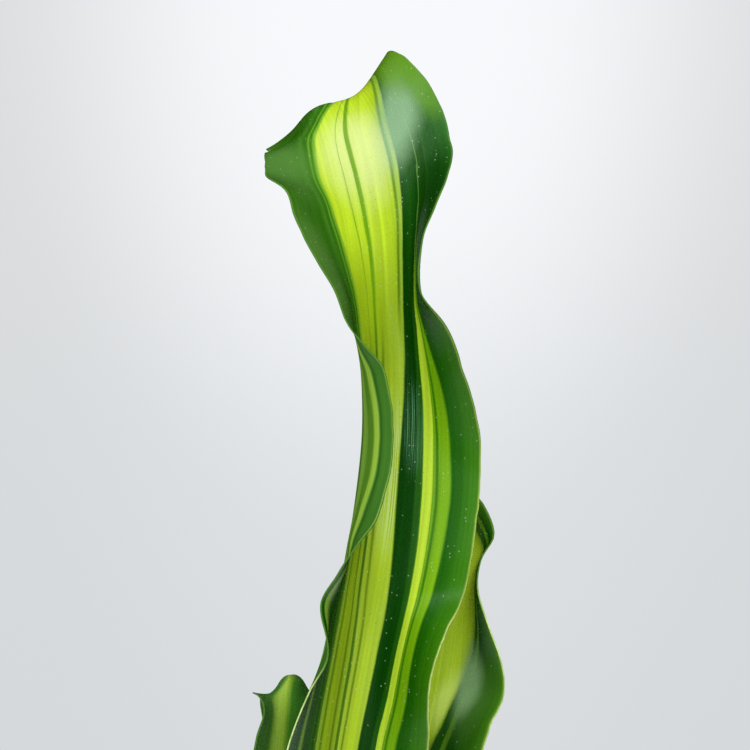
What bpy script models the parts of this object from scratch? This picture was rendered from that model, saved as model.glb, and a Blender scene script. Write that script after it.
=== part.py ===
"""A corn plant in a pot: a woody cane stands in the soil, a green shoot grows out of its side,
and long striped leaves with waved edges clasp the shoot and arch out from it.

Units are metres, +Z is up, and the origin is the middle of the pot's underside.
Lengths in the leaves' tables are in millimetres, and angles there are in degrees.
"""
import math
import random

import bmesh
import bpy
import numpy as np

MM = 0.001
GAP = 0.3 * MM
SEED = 11

# The pot: a plain tapered shell with a rolled rim and drain holes round the middle of its floor.
POT_HEIGHT = 190 * MM
POT_FOOT_RADIUS = 82 * MM
POT_RIM_RADIUS = 110 * MM
POT_WALL = 6 * MM
POT_FLOOR = 9 * MM
RIM_HEIGHT = 22 * MM
RIM_STEP = 4 * MM
POT_ROUND = 2.5 * MM
POT_STEPS = 40
DRAIN_COUNT = 4
DRAIN_RING = 46 * MM
DRAIN_RADIUS = 6 * MM
DRAIN_STEPS = 12

# The soil fills the pot to just under the rim and has a plain hole for the cane.
SOIL_TOP = 166 * MM
SOIL_CROWN = 5 * MM

# The cane: bark with the rings where old leaves sat, sawn off flat at the top.
CANE_RADIUS = 21 * MM
CANE_FOOT = 62 * MM
CANE_TOP = 452 * MM
CANE_ROUND = 2 * MM
RING_SPACING = 25 * MM
RING_HEIGHT = 1.1 * MM
RING_DIP = 0.44 * MM
RING_SLOPE = 1.8 * MM
CANE_STEPS = 16

# The shoot: it leaves a socket in the cane's side and turns up into the middle of the crown.
SHOOT_RADIUS = 10.5 * MM
SHOOT_TIP_RADIUS = 7.5 * MM
SOCKET_HEIGHT = 404 * MM
SOCKET_DEPTH = 9 * MM
SOCKET_STEPS = 16
SHOOT_REACH = 47 * MM
SHOOT_SIDE = math.radians(-35)
SHOOT_BEND_STEPS = 6
SHOOT_TIP_RISE = 12 * MM
SHOOT_TAPER = 30 * MM
AXIS_X = SHOOT_REACH * math.cos(SHOOT_SIDE)
AXIS_Y = SHOOT_REACH * math.sin(SHOOT_SIDE)

# The crown: leaf bases follow each other down the shoot, each one clasping it outside the last.
TOP_LEAF_HEIGHT = 652 * MM
LEAF_SPACING = 10.5 * MM
LEAF_TURN = math.radians(-137.5)
LEAF_NUDGES = {2: math.radians(35)}
LEAF_THICKNESS = 0.9 * MM
SHEATH_CLEARANCE = 1.65 * MM
SHEATH_RADIUS = SHOOT_RADIUS + SHEATH_CLEARANCE
CROWN_LEAVES = 17

# The arching leaves: what each one draws for itself, in metres and degrees.
ARCH_ROWS = 25
ARCH_COLUMNS = 5
ARCH_TURNS = (-5, 5)
ARCH_LENGTHS = (0.46, 0.52)
ARCH_HALF_WIDTHS = (0.035, 0.039)
ARCH_SWAYS = (-0.045, 0.045)
ARCH_TWISTS = (-35, 35)
ARCH_CHANNELS = (24, 34)
ARCH_RUFFLES = (28, 42)
ARCH_WAVES = (0.085, 0.115)

# Share of the length, then how far the leaf leans from upright when it is youngest and oldest.
ARCH_LEANS = (
    (0, 13, 13), (0.07, 13, 13), (0.2, 38, 52), (0.42, 76, 92), (0.7, 116, 134), (1, 136, 160))
# Share of the length, then share of the half width.
ARCH_OUTLINE = (
    (0, 0.5), (0.08, 0.52), (0.18, 0.58), (0.36, 0.9), (0.52, 1), (0.68, 0.92), (0.84, 0.55),
    (0.95, 0.18), (1, 0.03))
# Where the waves begin, how soon they are full and how they fade at the tip, as shares of the length.
RUFFLE_START = 0.14
RUFFLE_RISE = 0.2
RUFFLE_FADE = 0.12
RUFFLE_INNER = 0.25
TWIST_POWER = 1.5

# The three upright leaves share one frame: right, back and up from this point.
VIEW_CENTRE = (AXIS_X + 28 * MM, AXIS_Y + 40 * MM, TOP_LEAF_HEIGHT + 290 * MM)

# The tall leaf. Midline: right, back and up. Half width: along the leaf, half width.
# Folds: along the leaf, then how far the blade is turned towards the front, in degrees,
# at its left edge, halfway in, at the midrib, halfway out and at its right edge.
TALL_MIDLINE = (
    (-28, -28, -290), (-27, -21, -256), (-22.5, -15.5, -205), (-16.5, -12, -150), (-9.5, -6, -108),
    (-2.8, -1, -70), (1.4, 4, -30), (1.6, 9, 0), (-0.4, 14, 30), (-2.4, 21, 58), (-6, 31, 82),
    (-9.5, 42, 98), (-14, 56, 112), (-18, 72, 120), (-20, 90, 118), (-18, 108, 102),
    (-13, 118, 76), (-6, 124, 40), (0, 126, 5))
TALL_WIDTHS = (
    (0, 22), (35, 24), (86, 30), (142, 38), (200, 41), (245, 44), (270, 43), (330, 41),
    (380, 41), (402, 40), (430, 37), (455, 33), (485, 24), (515, 15), (545, 7), (575, 1))
TALL_FOLDS = (
    (0, -106, -53, 0, 53, 106),
    (35, -74, -37, 0, 37, 74),
    (90, -75, -50, -25, 15, 35),
    (142, -80, -67, -28, 12, 25),
    (166, -95, -78, -28, 28, 48),
    (180, -104, -86, -28, 35, 55),
    (200, -58, -88, -28, 28, 42),
    (212, -70, -94, -32, 8, 15),
    (224, -100, -96, -36, 0, 5),
    (236, -125, -101, -39, 0, 5),
    (264, -146, -101, -44, 5, 10),
    (290, -132, -95, -43, 31, 55),
    (300, -102, -89, -41, 40, 64),
    (310, -76, -83, -38, 52, 75),
    (322, -62, -78, -34, 68, 100),
    (342, -50, -58, -24, 65, 91),
    (354, -45, -50, -20, 54, 70),
    (366, -42, -44, -16, 38, 52),
    (382, -18, -17, -4, 24, 27),
    (405, 6, 4, 8, 27, 20),
    (430, 54, 46, 13, 46, 50),
    (442, 48, 54, 10, 52, 56),
    (455, 45, 44, 16, 44, 64),
    (485, 0, 5, 10, 25, 40),
    (575, -20, -10, 0, 10, 20))

# The leaf behind it to the right, in the same frame and the same three tables.
RIGHT_MIDLINE = (
    (-18.4, -32.6, -321.5), (-12.1, -27.8, -287.5), (0, -18, -240), (12, -7, -190), (22, 4, -143),
    (28, 14, -112), (31, 24, -94), (33, 36, -83), (34, 50, -79), (33, 64, -86), (28, 78, -108),
    (22, 86, -140), (16, 90, -176))
RIGHT_WIDTHS = (
    (0, 17.8), (35, 19), (85, 22), (137, 28), (190, 33), (240, 35), (285, 31), (315, 22), (345, 15),
    (375, 8), (395, 1))
RIGHT_FOLDS = (
    (0, -40, 10, 52, 94, 136),
    (35, -10, 20, 52, 80, 100),
    (90, 5, 25, 50, 65, 75),
    (190, 10, 25, 43, 50, 46),
    (203, 15, 25, 38, 42, 38),
    (213, 15, 25, 40, 50, 48),
    (223, 10, 25, 43, 66, 64),
    (233, 5, 25, 45, 79, 79),
    (242, 0, 20, 45, 78, 78),
    (251, 5, 20, 42, 70, 62),
    (260, 10, 20, 42, 78, 74),
    (270, 10, 20, 40, 86, 98),
    (292, 10, 20, 35, 60, 70),
    (315, 30, 45, 55, 65, 75),
    (345, 20, 30, 40, 50, 60),
    (395, 0, 10, 20, 30, 40))

# The leaf behind it to the left.
LEFT_MIDLINE = (
    (-34.5, -29.8, -342.5), (-38.7, -23, -308.5), (-40, -15, -262), (-39, -4, -214),
    (-37, 8, -176), (-36, 19, -150), (-36, 31, -135), (-36, 45, -128), (-36, 60, -133),
    (-36, 74, -154), (-36, 82, -190), (-36, 84, -230))
LEFT_WIDTHS = (
    (0, 19), (35, 19), (84, 23), (135, 27), (177, 27), (200, 24), (212, 18.5), (222, 14.5), (241, 16),
    (258, 15), (285, 12), (320, 6), (350, 1))
LEFT_FOLDS = (
    (0, -121, -77, -32, 13, 57),
    (35, -90, -60, -32, -5, 25),
    (90, -70, -52, -32, -12, 5),
    (177, -70, -64, -35, -12, 0),
    (195, -76, -68, -36, -10, 0),
    (204, -84, -72, -36, -14, -5),
    (212, -50, -58, -28, -22, -22),
    (219, -22, -12, -14, -42, -46),
    (230, -10, 64, 5, -74, -72),
    (241, 0, 64, 5, -74, -72),
    (262, 10, 25, 0, -30, -40),
    (285, 0, 0, 0, 0, 0),
    (350, 0, 0, 0, 0, 0))

# Each upright leaf: its three tables, and its rows and columns of points.
UPRIGHT_LEAVES = {
    "leaf_01": (TALL_MIDLINE, TALL_WIDTHS, TALL_FOLDS, 44, 11),
    "leaf_04": (RIGHT_MIDLINE, RIGHT_WIDTHS, RIGHT_FOLDS, 31, 7),
    "leaf_06": (LEFT_MIDLINE, LEFT_WIDTHS, LEFT_FOLDS, 28, 7)}

COLLECTION = "potted_corn_plant"
PATH_STEPS = 3000
EDGE_STEPS = np.linspace(-1, 1, 81)
FOLD_PLACES = np.array([-1, -0.5, 0, 0.5, 1])


def smooth(table, places):
    """Smooth curve through the rows of a table; the first column is the place along it."""
    table = np.asarray(table, float)
    keys = table[:, 0]
    values = table[:, 1:]
    slopes = np.empty_like(values)
    slopes[1:-1] = (values[2:] - values[:-2]) / (keys[2:] - keys[:-2])[:, None]
    slopes[0] = (values[1] - values[0]) / (keys[1] - keys[0])
    slopes[-1] = (values[-1] - values[-2]) / (keys[-1] - keys[-2])
    places = np.clip(places, keys[0], keys[-1])
    low = np.clip(np.searchsorted(keys, places, side="right") - 1, 0, len(keys) - 2)
    span = (keys[low + 1] - keys[low])[:, None]
    u = (places - keys[low])[:, None] / span
    start = (2 * u**3 - 3 * u**2 + 1) * values[low] + (u**3 - 2 * u**2 + u) * span * slopes[low]
    end = (3 * u**2 - 2 * u**3) * values[low + 1] + (u**3 - u**2) * span * slopes[low + 1]
    return start + end


def running_total(values, step):
    """What the values add up to at each place, from nothing at the first."""
    return np.append(0, np.cumsum((values[1:] + values[:-1]) / 2 * step))


def even_path(points, count):
    """Even steps along a smooth curve through the points: the distances, and the places."""
    points = np.asarray(points, float)
    chord = np.append(0, np.cumsum(np.linalg.norm(np.diff(points, axis=0), axis=1)))
    fine = smooth(np.column_stack([chord, points]), np.linspace(0, chord[-1], PATH_STEPS))
    length = np.append(0, np.cumsum(np.linalg.norm(np.diff(fine, axis=0), axis=1)))
    along = np.linspace(0, length[-1], count)
    return along, np.column_stack([np.interp(along, length, fine[:, k]) for k in range(3)])


def blade(path, half_widths, folds, side, columns):
    """Rows of points across a leaf, folded about its midline by the angles in each row."""
    tangent = np.gradient(path, axis=0)
    tangent /= np.linalg.norm(tangent, axis=1)[:, None]
    across = side - (tangent @ side)[:, None] * tangent
    across /= np.linalg.norm(across, axis=1)[:, None]
    front = np.cross(across, tangent)
    places = np.linspace(-1, 1, columns)
    step = EDGE_STEPS[1] - EDGE_STEPS[0]
    middle = len(EDGE_STEPS) // 2
    rows = []
    for row, centre in enumerate(path):
        turn = np.radians(smooth(np.column_stack([FOLD_PLACES, folds[row]]), EDGE_STEPS)[:, 0])
        reach = []
        for part in (np.cos(turn), np.sin(turn)):
            total = running_total(part, step)
            reach.append(np.interp(places, EDGE_STEPS, total - total[middle]) * half_widths[row])
        rows.append(centre + reach[0][:, None] * across[row] + reach[1][:, None] * front[row])
    return np.array(rows)


def upright_leaf(midline, widths, folds, rows, columns):
    """One of the three leaves that stand up, from its three tables."""
    along, path = even_path(midline, rows)
    grid = blade(path, smooth(widths, along)[:, 0], smooth(folds, along),
                 np.array([1.0, 0.0, 0.0]), columns)
    return grid * MM + np.array(VIEW_CENTRE)


def arching_leaf(leaf, rows, columns):
    """A leaf that clasps the shoot, rises and arches over, with waves along both edges."""
    share = np.linspace(0, 1, rows)
    along = share * leaf["length"]
    step = along[1] - along[0]
    young, old = smooth(ARCH_LEANS, share).T
    lean = np.radians(young + (old - young) * leaf["age"])
    out = SHEATH_RADIUS + running_total(np.sin(lean), step)
    up = running_total(np.cos(lean), step)
    away = np.array([math.cos(leaf["azimuth"]), math.sin(leaf["azimuth"]), 0.0])
    side = np.array([away[1], -away[0], 0.0])
    sway = leaf["sway"] * share**2
    path = (np.array([AXIS_X, AXIS_Y, leaf["height"]]) + out[:, None] * away
            + sway[:, None] * side + up[:, None] * np.array([0.0, 0.0, 1.0]))
    half = smooth(ARCH_OUTLINE, share)[:, 0] * leaf["half_width"]
    hollow = np.maximum(np.degrees(half / out), leaf["channel"])
    folds = np.outer(hollow, FOLD_PLACES) + (leaf["twist"] * share**TWIST_POWER)[:, None]
    fade = (np.clip((share - RUFFLE_START) / RUFFLE_RISE, 0, 1)
            * np.clip((1 - share) / RUFFLE_FADE, 0, 1))
    for edge, inner, phase in ((0, 1, leaf["left_phase"]), (4, 3, leaf["right_phase"])):
        wave = np.sin(2 * math.pi * along / leaf["wave"] + phase) * fade * leaf["ruffle"]
        folds[:, edge] += wave
        folds[:, inner] += RUFFLE_INNER * wave
    return blade(path, half, folds, side, columns)


def arching_leaves():
    """The other leaves, from the youngest down: each a turn round the shoot and a step lower."""
    draw = random.Random(SEED)
    leaves = []
    for number in range(1, CROWN_LEAVES):
        turn = number * LEAF_TURN + LEAF_NUDGES.get(number, 0)
        leaf = {
            "name": f"leaf_{number + 1:02d}",
            "age": number / CROWN_LEAVES,
            "height": TOP_LEAF_HEIGHT - number * LEAF_SPACING,
            "azimuth": math.pi / 2 + turn + math.radians(draw.uniform(*ARCH_TURNS)),
            "length": draw.uniform(*ARCH_LENGTHS),
            "half_width": draw.uniform(*ARCH_HALF_WIDTHS),
            "sway": draw.uniform(*ARCH_SWAYS),
            "twist": draw.uniform(*ARCH_TWISTS),
            "channel": draw.uniform(*ARCH_CHANNELS),
            "ruffle": draw.uniform(*ARCH_RUFFLES),
            "wave": draw.uniform(*ARCH_WAVES),
            "left_phase": draw.uniform(0, 2 * math.pi),
            "right_phase": draw.uniform(0, 2 * math.pi)}
        if leaf["name"] not in UPRIGHT_LEAVES:
            leaves.append(leaf)
    return leaves


def clear_scene():
    """Start from nothing: remove whatever the scene holds."""
    for item in list(bpy.data.objects):
        bpy.data.objects.remove(item, do_unlink=True)


def make_collection(name):
    """A new collection, linked to the scene."""
    collection = bpy.data.collections.new(name)
    bpy.context.scene.collection.children.link(collection)
    return collection


def make_material(name, colour, roughness):
    """One plain shiny or dull material for a sub-part."""
    material = bpy.data.materials.new(name)
    material.use_nodes = True
    shader = material.node_tree.nodes["Principled BSDF"]
    shader.inputs["Base Color"].default_value = (*colour, 1)
    shader.inputs["Roughness"].default_value = roughness
    shader.inputs["Metallic"].default_value = 0
    material.diffuse_color = (*colour, 1)
    return material


def place(name, shape, collection, material=None):
    """An object for a mesh or a curve, in its collection and with its material."""
    item = bpy.data.objects.new(name, shape)
    collection.objects.link(item)
    if material:
        shape.materials.append(material)
    return item


def turned(name, profile, steps, collection, material=None):
    """A profile of (radius, height) points turned round the vertical axis."""
    mesh = bpy.data.meshes.new(name)
    edges = [(i, i + 1) for i in range(len(profile) - 1)]
    mesh.from_pydata([(radius, 0, height) for radius, height in profile], edges, [])
    item = place(name, mesh, collection, material)
    screw = item.modifiers.new("Turn", "SCREW")
    screw.steps = steps
    screw.render_steps = steps
    screw.use_merge_vertices = True
    screw.merge_threshold = 0.0001
    screw.use_smooth_shade = True
    return item


def round_cutter(name, radius, length, steps, cutters):
    """A round bar that a hole is cut with."""
    mesh = bpy.data.meshes.new(name)
    shape = bmesh.new()
    bmesh.ops.create_cone(shape, cap_ends=True, segments=steps, radius1=radius, radius2=radius,
                          depth=length)
    shape.to_mesh(mesh)
    shape.free()
    return place(name, mesh, cutters)


def cut(item, cutter):
    """Take the cutter's shape out of the item, and keep the cutter out of sight."""
    boolean = item.modifiers.new(f"Cut {cutter.name}", "BOOLEAN")
    boolean.operation = "DIFFERENCE"
    boolean.solver = "EXACT"
    boolean.object = cutter
    cutter.hide_render = True
    cutter.display_type = "WIRE"


def pot_radius(height):
    """Outer radius of the pot's tapered wall."""
    return POT_FOOT_RADIUS + (POT_RIM_RADIUS - RIM_STEP - POT_FOOT_RADIUS) * height / POT_HEIGHT


def make_pot(parts, cutters, material):
    """The shell, with its rolled rim and its drain holes."""
    rim_foot = POT_HEIGHT - RIM_HEIGHT
    mouth = pot_radius(POT_HEIGHT) - POT_WALL
    profile = [
        (0, POT_FLOOR),
        (pot_radius(POT_FLOOR) - POT_WALL, POT_FLOOR),
        (mouth, POT_HEIGHT - POT_ROUND),
        (mouth + POT_ROUND, POT_HEIGHT),
        (POT_RIM_RADIUS - POT_ROUND, POT_HEIGHT),
        (POT_RIM_RADIUS, POT_HEIGHT - POT_ROUND),
        (POT_RIM_RADIUS, rim_foot + POT_ROUND),
        (POT_RIM_RADIUS - POT_ROUND, rim_foot),
        (pot_radius(rim_foot), rim_foot),
        (pot_radius(POT_ROUND), POT_ROUND),
        (POT_FOOT_RADIUS - POT_ROUND, 0),
        (0, 0)]
    pot = turned("pot", profile, POT_STEPS, parts, material)
    for number in range(DRAIN_COUNT):
        turn = 2 * math.pi * (number + 0.5) / DRAIN_COUNT
        drain = round_cutter(f"cut_drain_{number + 1}", DRAIN_RADIUS, 4 * POT_FLOOR, DRAIN_STEPS, cutters)
        drain.location = (DRAIN_RING * math.cos(turn), DRAIN_RING * math.sin(turn), 0)
        cut(pot, drain)


def make_soil(parts, material):
    """The potting mix inside the pot, with a plain hole that holds the cane."""
    bottom = POT_FLOOR + GAP
    hole = CANE_RADIUS + RING_HEIGHT + GAP
    foot = CANE_FOOT - GAP
    edge = pot_radius(SOIL_TOP) - POT_WALL - GAP
    profile = [
        (0, foot),
        (hole, foot),
        (hole, SOIL_TOP + SOIL_CROWN),
        ((hole + edge) / 2, SOIL_TOP + 0.7 * SOIL_CROWN),
        (edge, SOIL_TOP),
        (pot_radius(bottom) - POT_WALL - GAP, bottom),
        (0, bottom)]
    turned("soil", profile, POT_STEPS, parts, material)


def make_cane(parts, cutters, material):
    """The woody cane with its rings, and the socket that the shoot grows from."""
    profile = [
        (0, CANE_TOP),
        (CANE_RADIUS - CANE_ROUND, CANE_TOP),
        (CANE_RADIUS, CANE_TOP - CANE_ROUND)]
    height = CANE_TOP - RING_SPACING
    while height > CANE_FOOT + RING_SPACING:
        profile.append((CANE_RADIUS, height + RING_SLOPE))
        profile.append((CANE_RADIUS + RING_HEIGHT, height))
        profile.append((CANE_RADIUS - RING_DIP, height - RING_SLOPE))
        height -= RING_SPACING
    profile.append((CANE_RADIUS, CANE_FOOT + CANE_ROUND))
    profile.append((CANE_RADIUS - CANE_ROUND, CANE_FOOT))
    profile.append((0, CANE_FOOT))
    cane = turned("cane", profile, CANE_STEPS, parts, material)
    socket = round_cutter("cut_socket", SHOOT_RADIUS + GAP, 2 * CANE_RADIUS, SOCKET_STEPS, cutters)
    middle = 2 * CANE_RADIUS - SOCKET_DEPTH
    socket.location = (middle * math.cos(SHOOT_SIDE), middle * math.sin(SHOOT_SIDE), SOCKET_HEIGHT)
    socket.rotation_euler = (0, math.pi / 2, SHOOT_SIDE)
    cut(cane, socket)


def make_shoot(parts, material):
    """The green shoot: out of its socket, round a bend and straight up through the crown."""
    bend = SHOOT_REACH - CANE_RADIUS
    tip = TOP_LEAF_HEIGHT + SHOOT_TIP_RISE
    route = [(CANE_RADIUS - SOCKET_DEPTH + GAP, SOCKET_HEIGHT), (CANE_RADIUS, SOCKET_HEIGHT)]
    for number in range(1, SHOOT_BEND_STEPS + 1):
        turn = math.pi / 2 * number / SHOOT_BEND_STEPS
        route.append((CANE_RADIUS + bend * math.sin(turn), SOCKET_HEIGHT + bend * (1 - math.cos(turn))))
    route.append((SHOOT_REACH, tip - SHOOT_TAPER))
    route.append((SHOOT_REACH, tip))
    curve = bpy.data.curves.new("shoot", "CURVE")
    curve.dimensions = "3D"
    curve.bevel_depth = SHOOT_RADIUS
    curve.bevel_resolution = 3
    curve.use_fill_caps = True
    line = curve.splines.new("POLY")
    line.points.add(len(route) - 1)
    for point, (out, height) in zip(line.points, route):
        point.co = (out * math.cos(SHOOT_SIDE), out * math.sin(SHOOT_SIDE), height, 1)
    line.points[-1].radius = SHOOT_TIP_RADIUS / SHOOT_RADIUS
    place("shoot", curve, parts, material)


def leaf_object(name, grid, parts, material):
    """A thin blade from its rows of points, split into triangles alike on both faces."""
    rows, columns, _ = grid.shape
    mesh = bpy.data.meshes.new(name)
    shape = bmesh.new()
    points = [[shape.verts.new(point) for point in row] for row in grid]
    for low, high in zip(points, points[1:]):
        for column in range(columns - 1):
            a, b, c, d = low[column], low[column + 1], high[column + 1], high[column]
            if column < columns // 2:
                shape.faces.new((a, b, c))
                shape.faces.new((a, c, d))
            else:
                shape.faces.new((a, b, d))
                shape.faces.new((b, c, d))
    for face in shape.faces:
        face.smooth = True
    shape.to_mesh(mesh)
    shape.free()
    leaf = place(name, mesh, parts, material)
    solid = leaf.modifiers.new("Thickness", "SOLIDIFY")
    solid.thickness = LEAF_THICKNESS
    solid.offset = 0


def main():
    clear_scene()
    parts = make_collection(COLLECTION)
    cutters = make_collection("cutters")
    make_pot(parts, cutters, make_material("pot", (0.80, 0.78, 0.74), 0.35))
    make_soil(parts, make_material("soil", (0.05, 0.032, 0.02), 0.95))
    make_cane(parts, cutters, make_material("cane", (0.33, 0.24, 0.14), 0.8))
    make_shoot(parts, make_material("shoot", (0.16, 0.30, 0.07), 0.5))
    green = make_material("leaf", (0.13, 0.34, 0.03), 0.35)
    for name, tables in UPRIGHT_LEAVES.items():
        leaf_object(name, upright_leaf(*tables), parts, green)
    for leaf in arching_leaves():
        leaf_object(leaf["name"], arching_leaf(leaf, ARCH_ROWS, ARCH_COLUMNS), parts, green)


main()
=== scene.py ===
"""Looks of a corn plant in a pot: striped satin leaves, a ringed cane, crumbly soil, a glazed pot.

Units are metres, +Z is up, and the origin is the middle of the pot's underside.
Lengths in the leaves' tables are in millimetres, and angles there are in degrees.
"""
import math
import random

import bmesh
import bpy
import numpy as np
from mathutils import Matrix, Vector, noise


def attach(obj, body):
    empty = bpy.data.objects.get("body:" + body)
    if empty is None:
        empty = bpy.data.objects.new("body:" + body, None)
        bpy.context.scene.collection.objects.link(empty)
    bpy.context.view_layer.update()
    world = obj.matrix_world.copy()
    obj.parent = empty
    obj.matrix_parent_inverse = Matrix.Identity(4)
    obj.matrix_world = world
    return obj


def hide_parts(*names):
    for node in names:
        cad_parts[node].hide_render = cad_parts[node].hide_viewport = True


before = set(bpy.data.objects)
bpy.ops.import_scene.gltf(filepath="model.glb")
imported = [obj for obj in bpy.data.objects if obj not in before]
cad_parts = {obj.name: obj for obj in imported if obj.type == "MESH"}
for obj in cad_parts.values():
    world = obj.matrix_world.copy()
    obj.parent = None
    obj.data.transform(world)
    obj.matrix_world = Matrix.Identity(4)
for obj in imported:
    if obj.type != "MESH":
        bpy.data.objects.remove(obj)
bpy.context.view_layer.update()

MM = 0.001
GAP = 0.3 * MM

# The pot, the soil, the cane and the shoot, as the frame has them.
POT_HEIGHT = 190 * MM
POT_FOOT_RADIUS = 82 * MM
POT_RIM_RADIUS = 110 * MM
POT_WALL = 6 * MM
POT_FLOOR = 9 * MM
RIM_HEIGHT = 22 * MM
RIM_STEP = 4 * MM
POT_ROUND = 2.5 * MM
DRAIN_COUNT = 4
DRAIN_RING = 46 * MM
DRAIN_RADIUS = 6 * MM
SOIL_TOP = 166 * MM
SOIL_CROWN = 5 * MM
CANE_RADIUS = 21 * MM
CANE_FOOT = 62 * MM
CANE_TOP = 452 * MM
CANE_ROUND = 2 * MM
RING_SPACING = 25 * MM
RING_HEIGHT = 1.1 * MM
SHOOT_RADIUS = 10.5 * MM
SHOOT_TIP_RADIUS = 7.5 * MM
SOCKET_HEIGHT = 404 * MM
SOCKET_DEPTH = 9 * MM
SHOOT_REACH = 47 * MM
SHOOT_SIDE = math.radians(-35)
SHOOT_TIP_RISE = 12 * MM
SHOOT_TAPER = 30 * MM
SHOOT_OUT = np.array([math.cos(SHOOT_SIDE), math.sin(SHOOT_SIDE), 0])
SHOOT_ACROSS = np.array([-math.sin(SHOOT_SIDE), math.cos(SHOOT_SIDE), 0])
AXIS_X, AXIS_Y, _ = SHOOT_REACH * SHOOT_OUT

# How finely those four are modelled here, and what is added to them.
POT_STEPS = 160
POT_SPACING = 3 * MM
SOIL_STEPS = 200
SOIL_GRAIN = 1.6 * MM
SOIL_BUMPS = 1.6 * MM
SOIL_BUMP_SIZE = 14 * MM
SOIL_CRUMBS = 1.5 * MM
SOIL_CRUMB_SIZE = 4 * MM
SOIL_SEED = 31
BARK_STEPS = 120
BARK_GRAIN = 1.1 * MM
BARK_BUMPS = 0.45 * MM
BARK_BUMP_SIZE = 11 * MM
BARK_CRACKS = 0.75 * MM
BARK_CRACK_SIZE = 2.6 * MM
BARK_SEED = 41
RING_LINES = 3
COLLAR_REACH = 21 * MM
COLLAR_SWELL = 5 * MM
SHOOT_STEPS = 48
SHOOT_GRAIN = 1.2 * MM
SHOOT_BEND_STEPS = 24
SHOOT_DOME = 6 * MM
SCAR_SPACING = 8 * MM
SCAR_DEPTH = 0.7 * MM
# Height above a ring, and how far the bark stands out there; then the same for a lesser line.
RING_SHAPE = (np.array((-4, -1.8, -0.4, 0, 1.8, 4)) * MM, np.array((0, -0.44, 0.9, 1.1, 0.2, 0)) * MM)
LINE_SHAPE = (np.array((-0.9, 0, 0.9)) * MM, np.array((0, -0.35, 0)) * MM)

# The crown.
TOP_LEAF_HEIGHT = 652 * MM
LEAF_SPACING = 10.5 * MM
LEAF_TURN = math.radians(-137.5)
LEAF_NUDGES = {2: math.radians(35)}
SHEATH_CLEARANCE = 1.65 * MM
SHEATH_RADIUS = SHOOT_RADIUS + SHEATH_CLEARANCE
CROWN_LEAVES = 17
BLADE_THICKNESS = 0.55 * MM

# The arching leaves: what each one draws for itself, in metres and degrees, with phases in radians.
ARCH_SEED = 11
ARCH_DRAWS = {
    "turn": (-5, 5), "length": (0.46, 0.52), "half_width": (0.035, 0.039), "sway": (-0.045, 0.045),
    "twist": (-35, 35), "channel": (24, 34), "ruffle": (28, 42), "wave": (0.085, 0.115),
    "left_phase": (0, 2 * math.pi), "right_phase": (0, 2 * math.pi)}

# Share of the length, then how far the leaf leans from upright when it is youngest and oldest.
ARCH_LEANS = (
    (0, 13, 13), (0.07, 13, 13), (0.2, 38, 52), (0.42, 76, 92), (0.7, 116, 134), (1, 136, 160))
# Share of the length, then share of the half width.
ARCH_OUTLINE = (
    (0, 0.5), (0.08, 0.52), (0.18, 0.58), (0.36, 0.9), (0.52, 1), (0.68, 0.92), (0.84, 0.55),
    (0.95, 0.18), (1, 0.03))
# Where the waves begin, how soon they are full and how they fade at the tip, as shares of the length.
RUFFLE_START = 0.14
RUFFLE_RISE = 0.2
RUFFLE_FADE = 0.12
# The share of the waves halfway in, and how the twist grows towards the tip.
RUFFLE_INNER = 0.25
TWIST_POWER = 1.5

# The three upright leaves share one frame: right, back and up from this point.
VIEW_CENTRE = (AXIS_X + 28 * MM, AXIS_Y + 40 * MM, TOP_LEAF_HEIGHT + 290 * MM)
CAMERA_DISTANCE = 708 * MM

# The tall leaf. Midline: right, back and up. Half width: along the leaf, half width.
# Folds: along the leaf, then how far the blade is turned towards the front, in degrees,
# at its left edge, halfway in, at the midrib, halfway out and at its right edge.
TALL_MIDLINE = (
    (-28, -28, -290), (-27, -21, -256), (-22.5, -15.5, -205), (-16.5, -12, -150), (-9.5, -6, -108),
    (-2.8, -1, -70), (1.4, 4, -30), (1.6, 9, 0), (-0.4, 14, 30), (-2.4, 21, 58), (-6, 31, 82),
    (-9.5, 42, 98), (-14, 56, 112), (-18, 72, 120), (-20, 90, 118), (-18, 108, 102),
    (-13, 118, 76), (-6, 124, 40), (0, 126, 5))
TALL_WIDTHS = (
    (0, 22), (35, 24), (86, 30), (142, 38), (200, 41), (245, 44), (270, 43), (330, 41),
    (380, 41), (402, 40), (430, 37), (455, 33), (485, 24), (515, 15), (545, 7), (575, 1))
TALL_FOLDS = (
    (0, -106, -53, 0, 53, 106),
    (35, -74, -37, 0, 37, 74),
    (90, -75, -50, -25, 15, 35),
    (142, -80, -67, -28, 12, 25),
    (166, -95, -78, -28, 28, 48),
    (180, -104, -86, -28, 35, 55),
    (200, -58, -88, -28, 28, 42),
    (212, -70, -94, -32, 8, 15),
    (224, -100, -96, -36, 0, 5),
    (236, -125, -101, -39, 0, 5),
    (264, -146, -101, -44, 5, 10),
    (290, -132, -95, -43, 31, 55),
    (300, -102, -89, -41, 40, 64),
    (310, -76, -83, -38, 52, 75),
    (322, -62, -78, -34, 68, 100),
    (342, -50, -58, -24, 65, 91),
    (354, -45, -50, -20, 54, 70),
    (366, -42, -44, -16, 38, 52),
    (382, -18, -17, -4, 24, 27),
    (405, 6, 4, 8, 27, 20),
    (430, 54, 46, 13, 46, 50),
    (442, 48, 54, 10, 52, 56),
    (455, 45, 44, 16, 44, 64),
    (485, 0, 5, 10, 25, 40),
    (575, -20, -10, 0, 10, 20))

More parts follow.
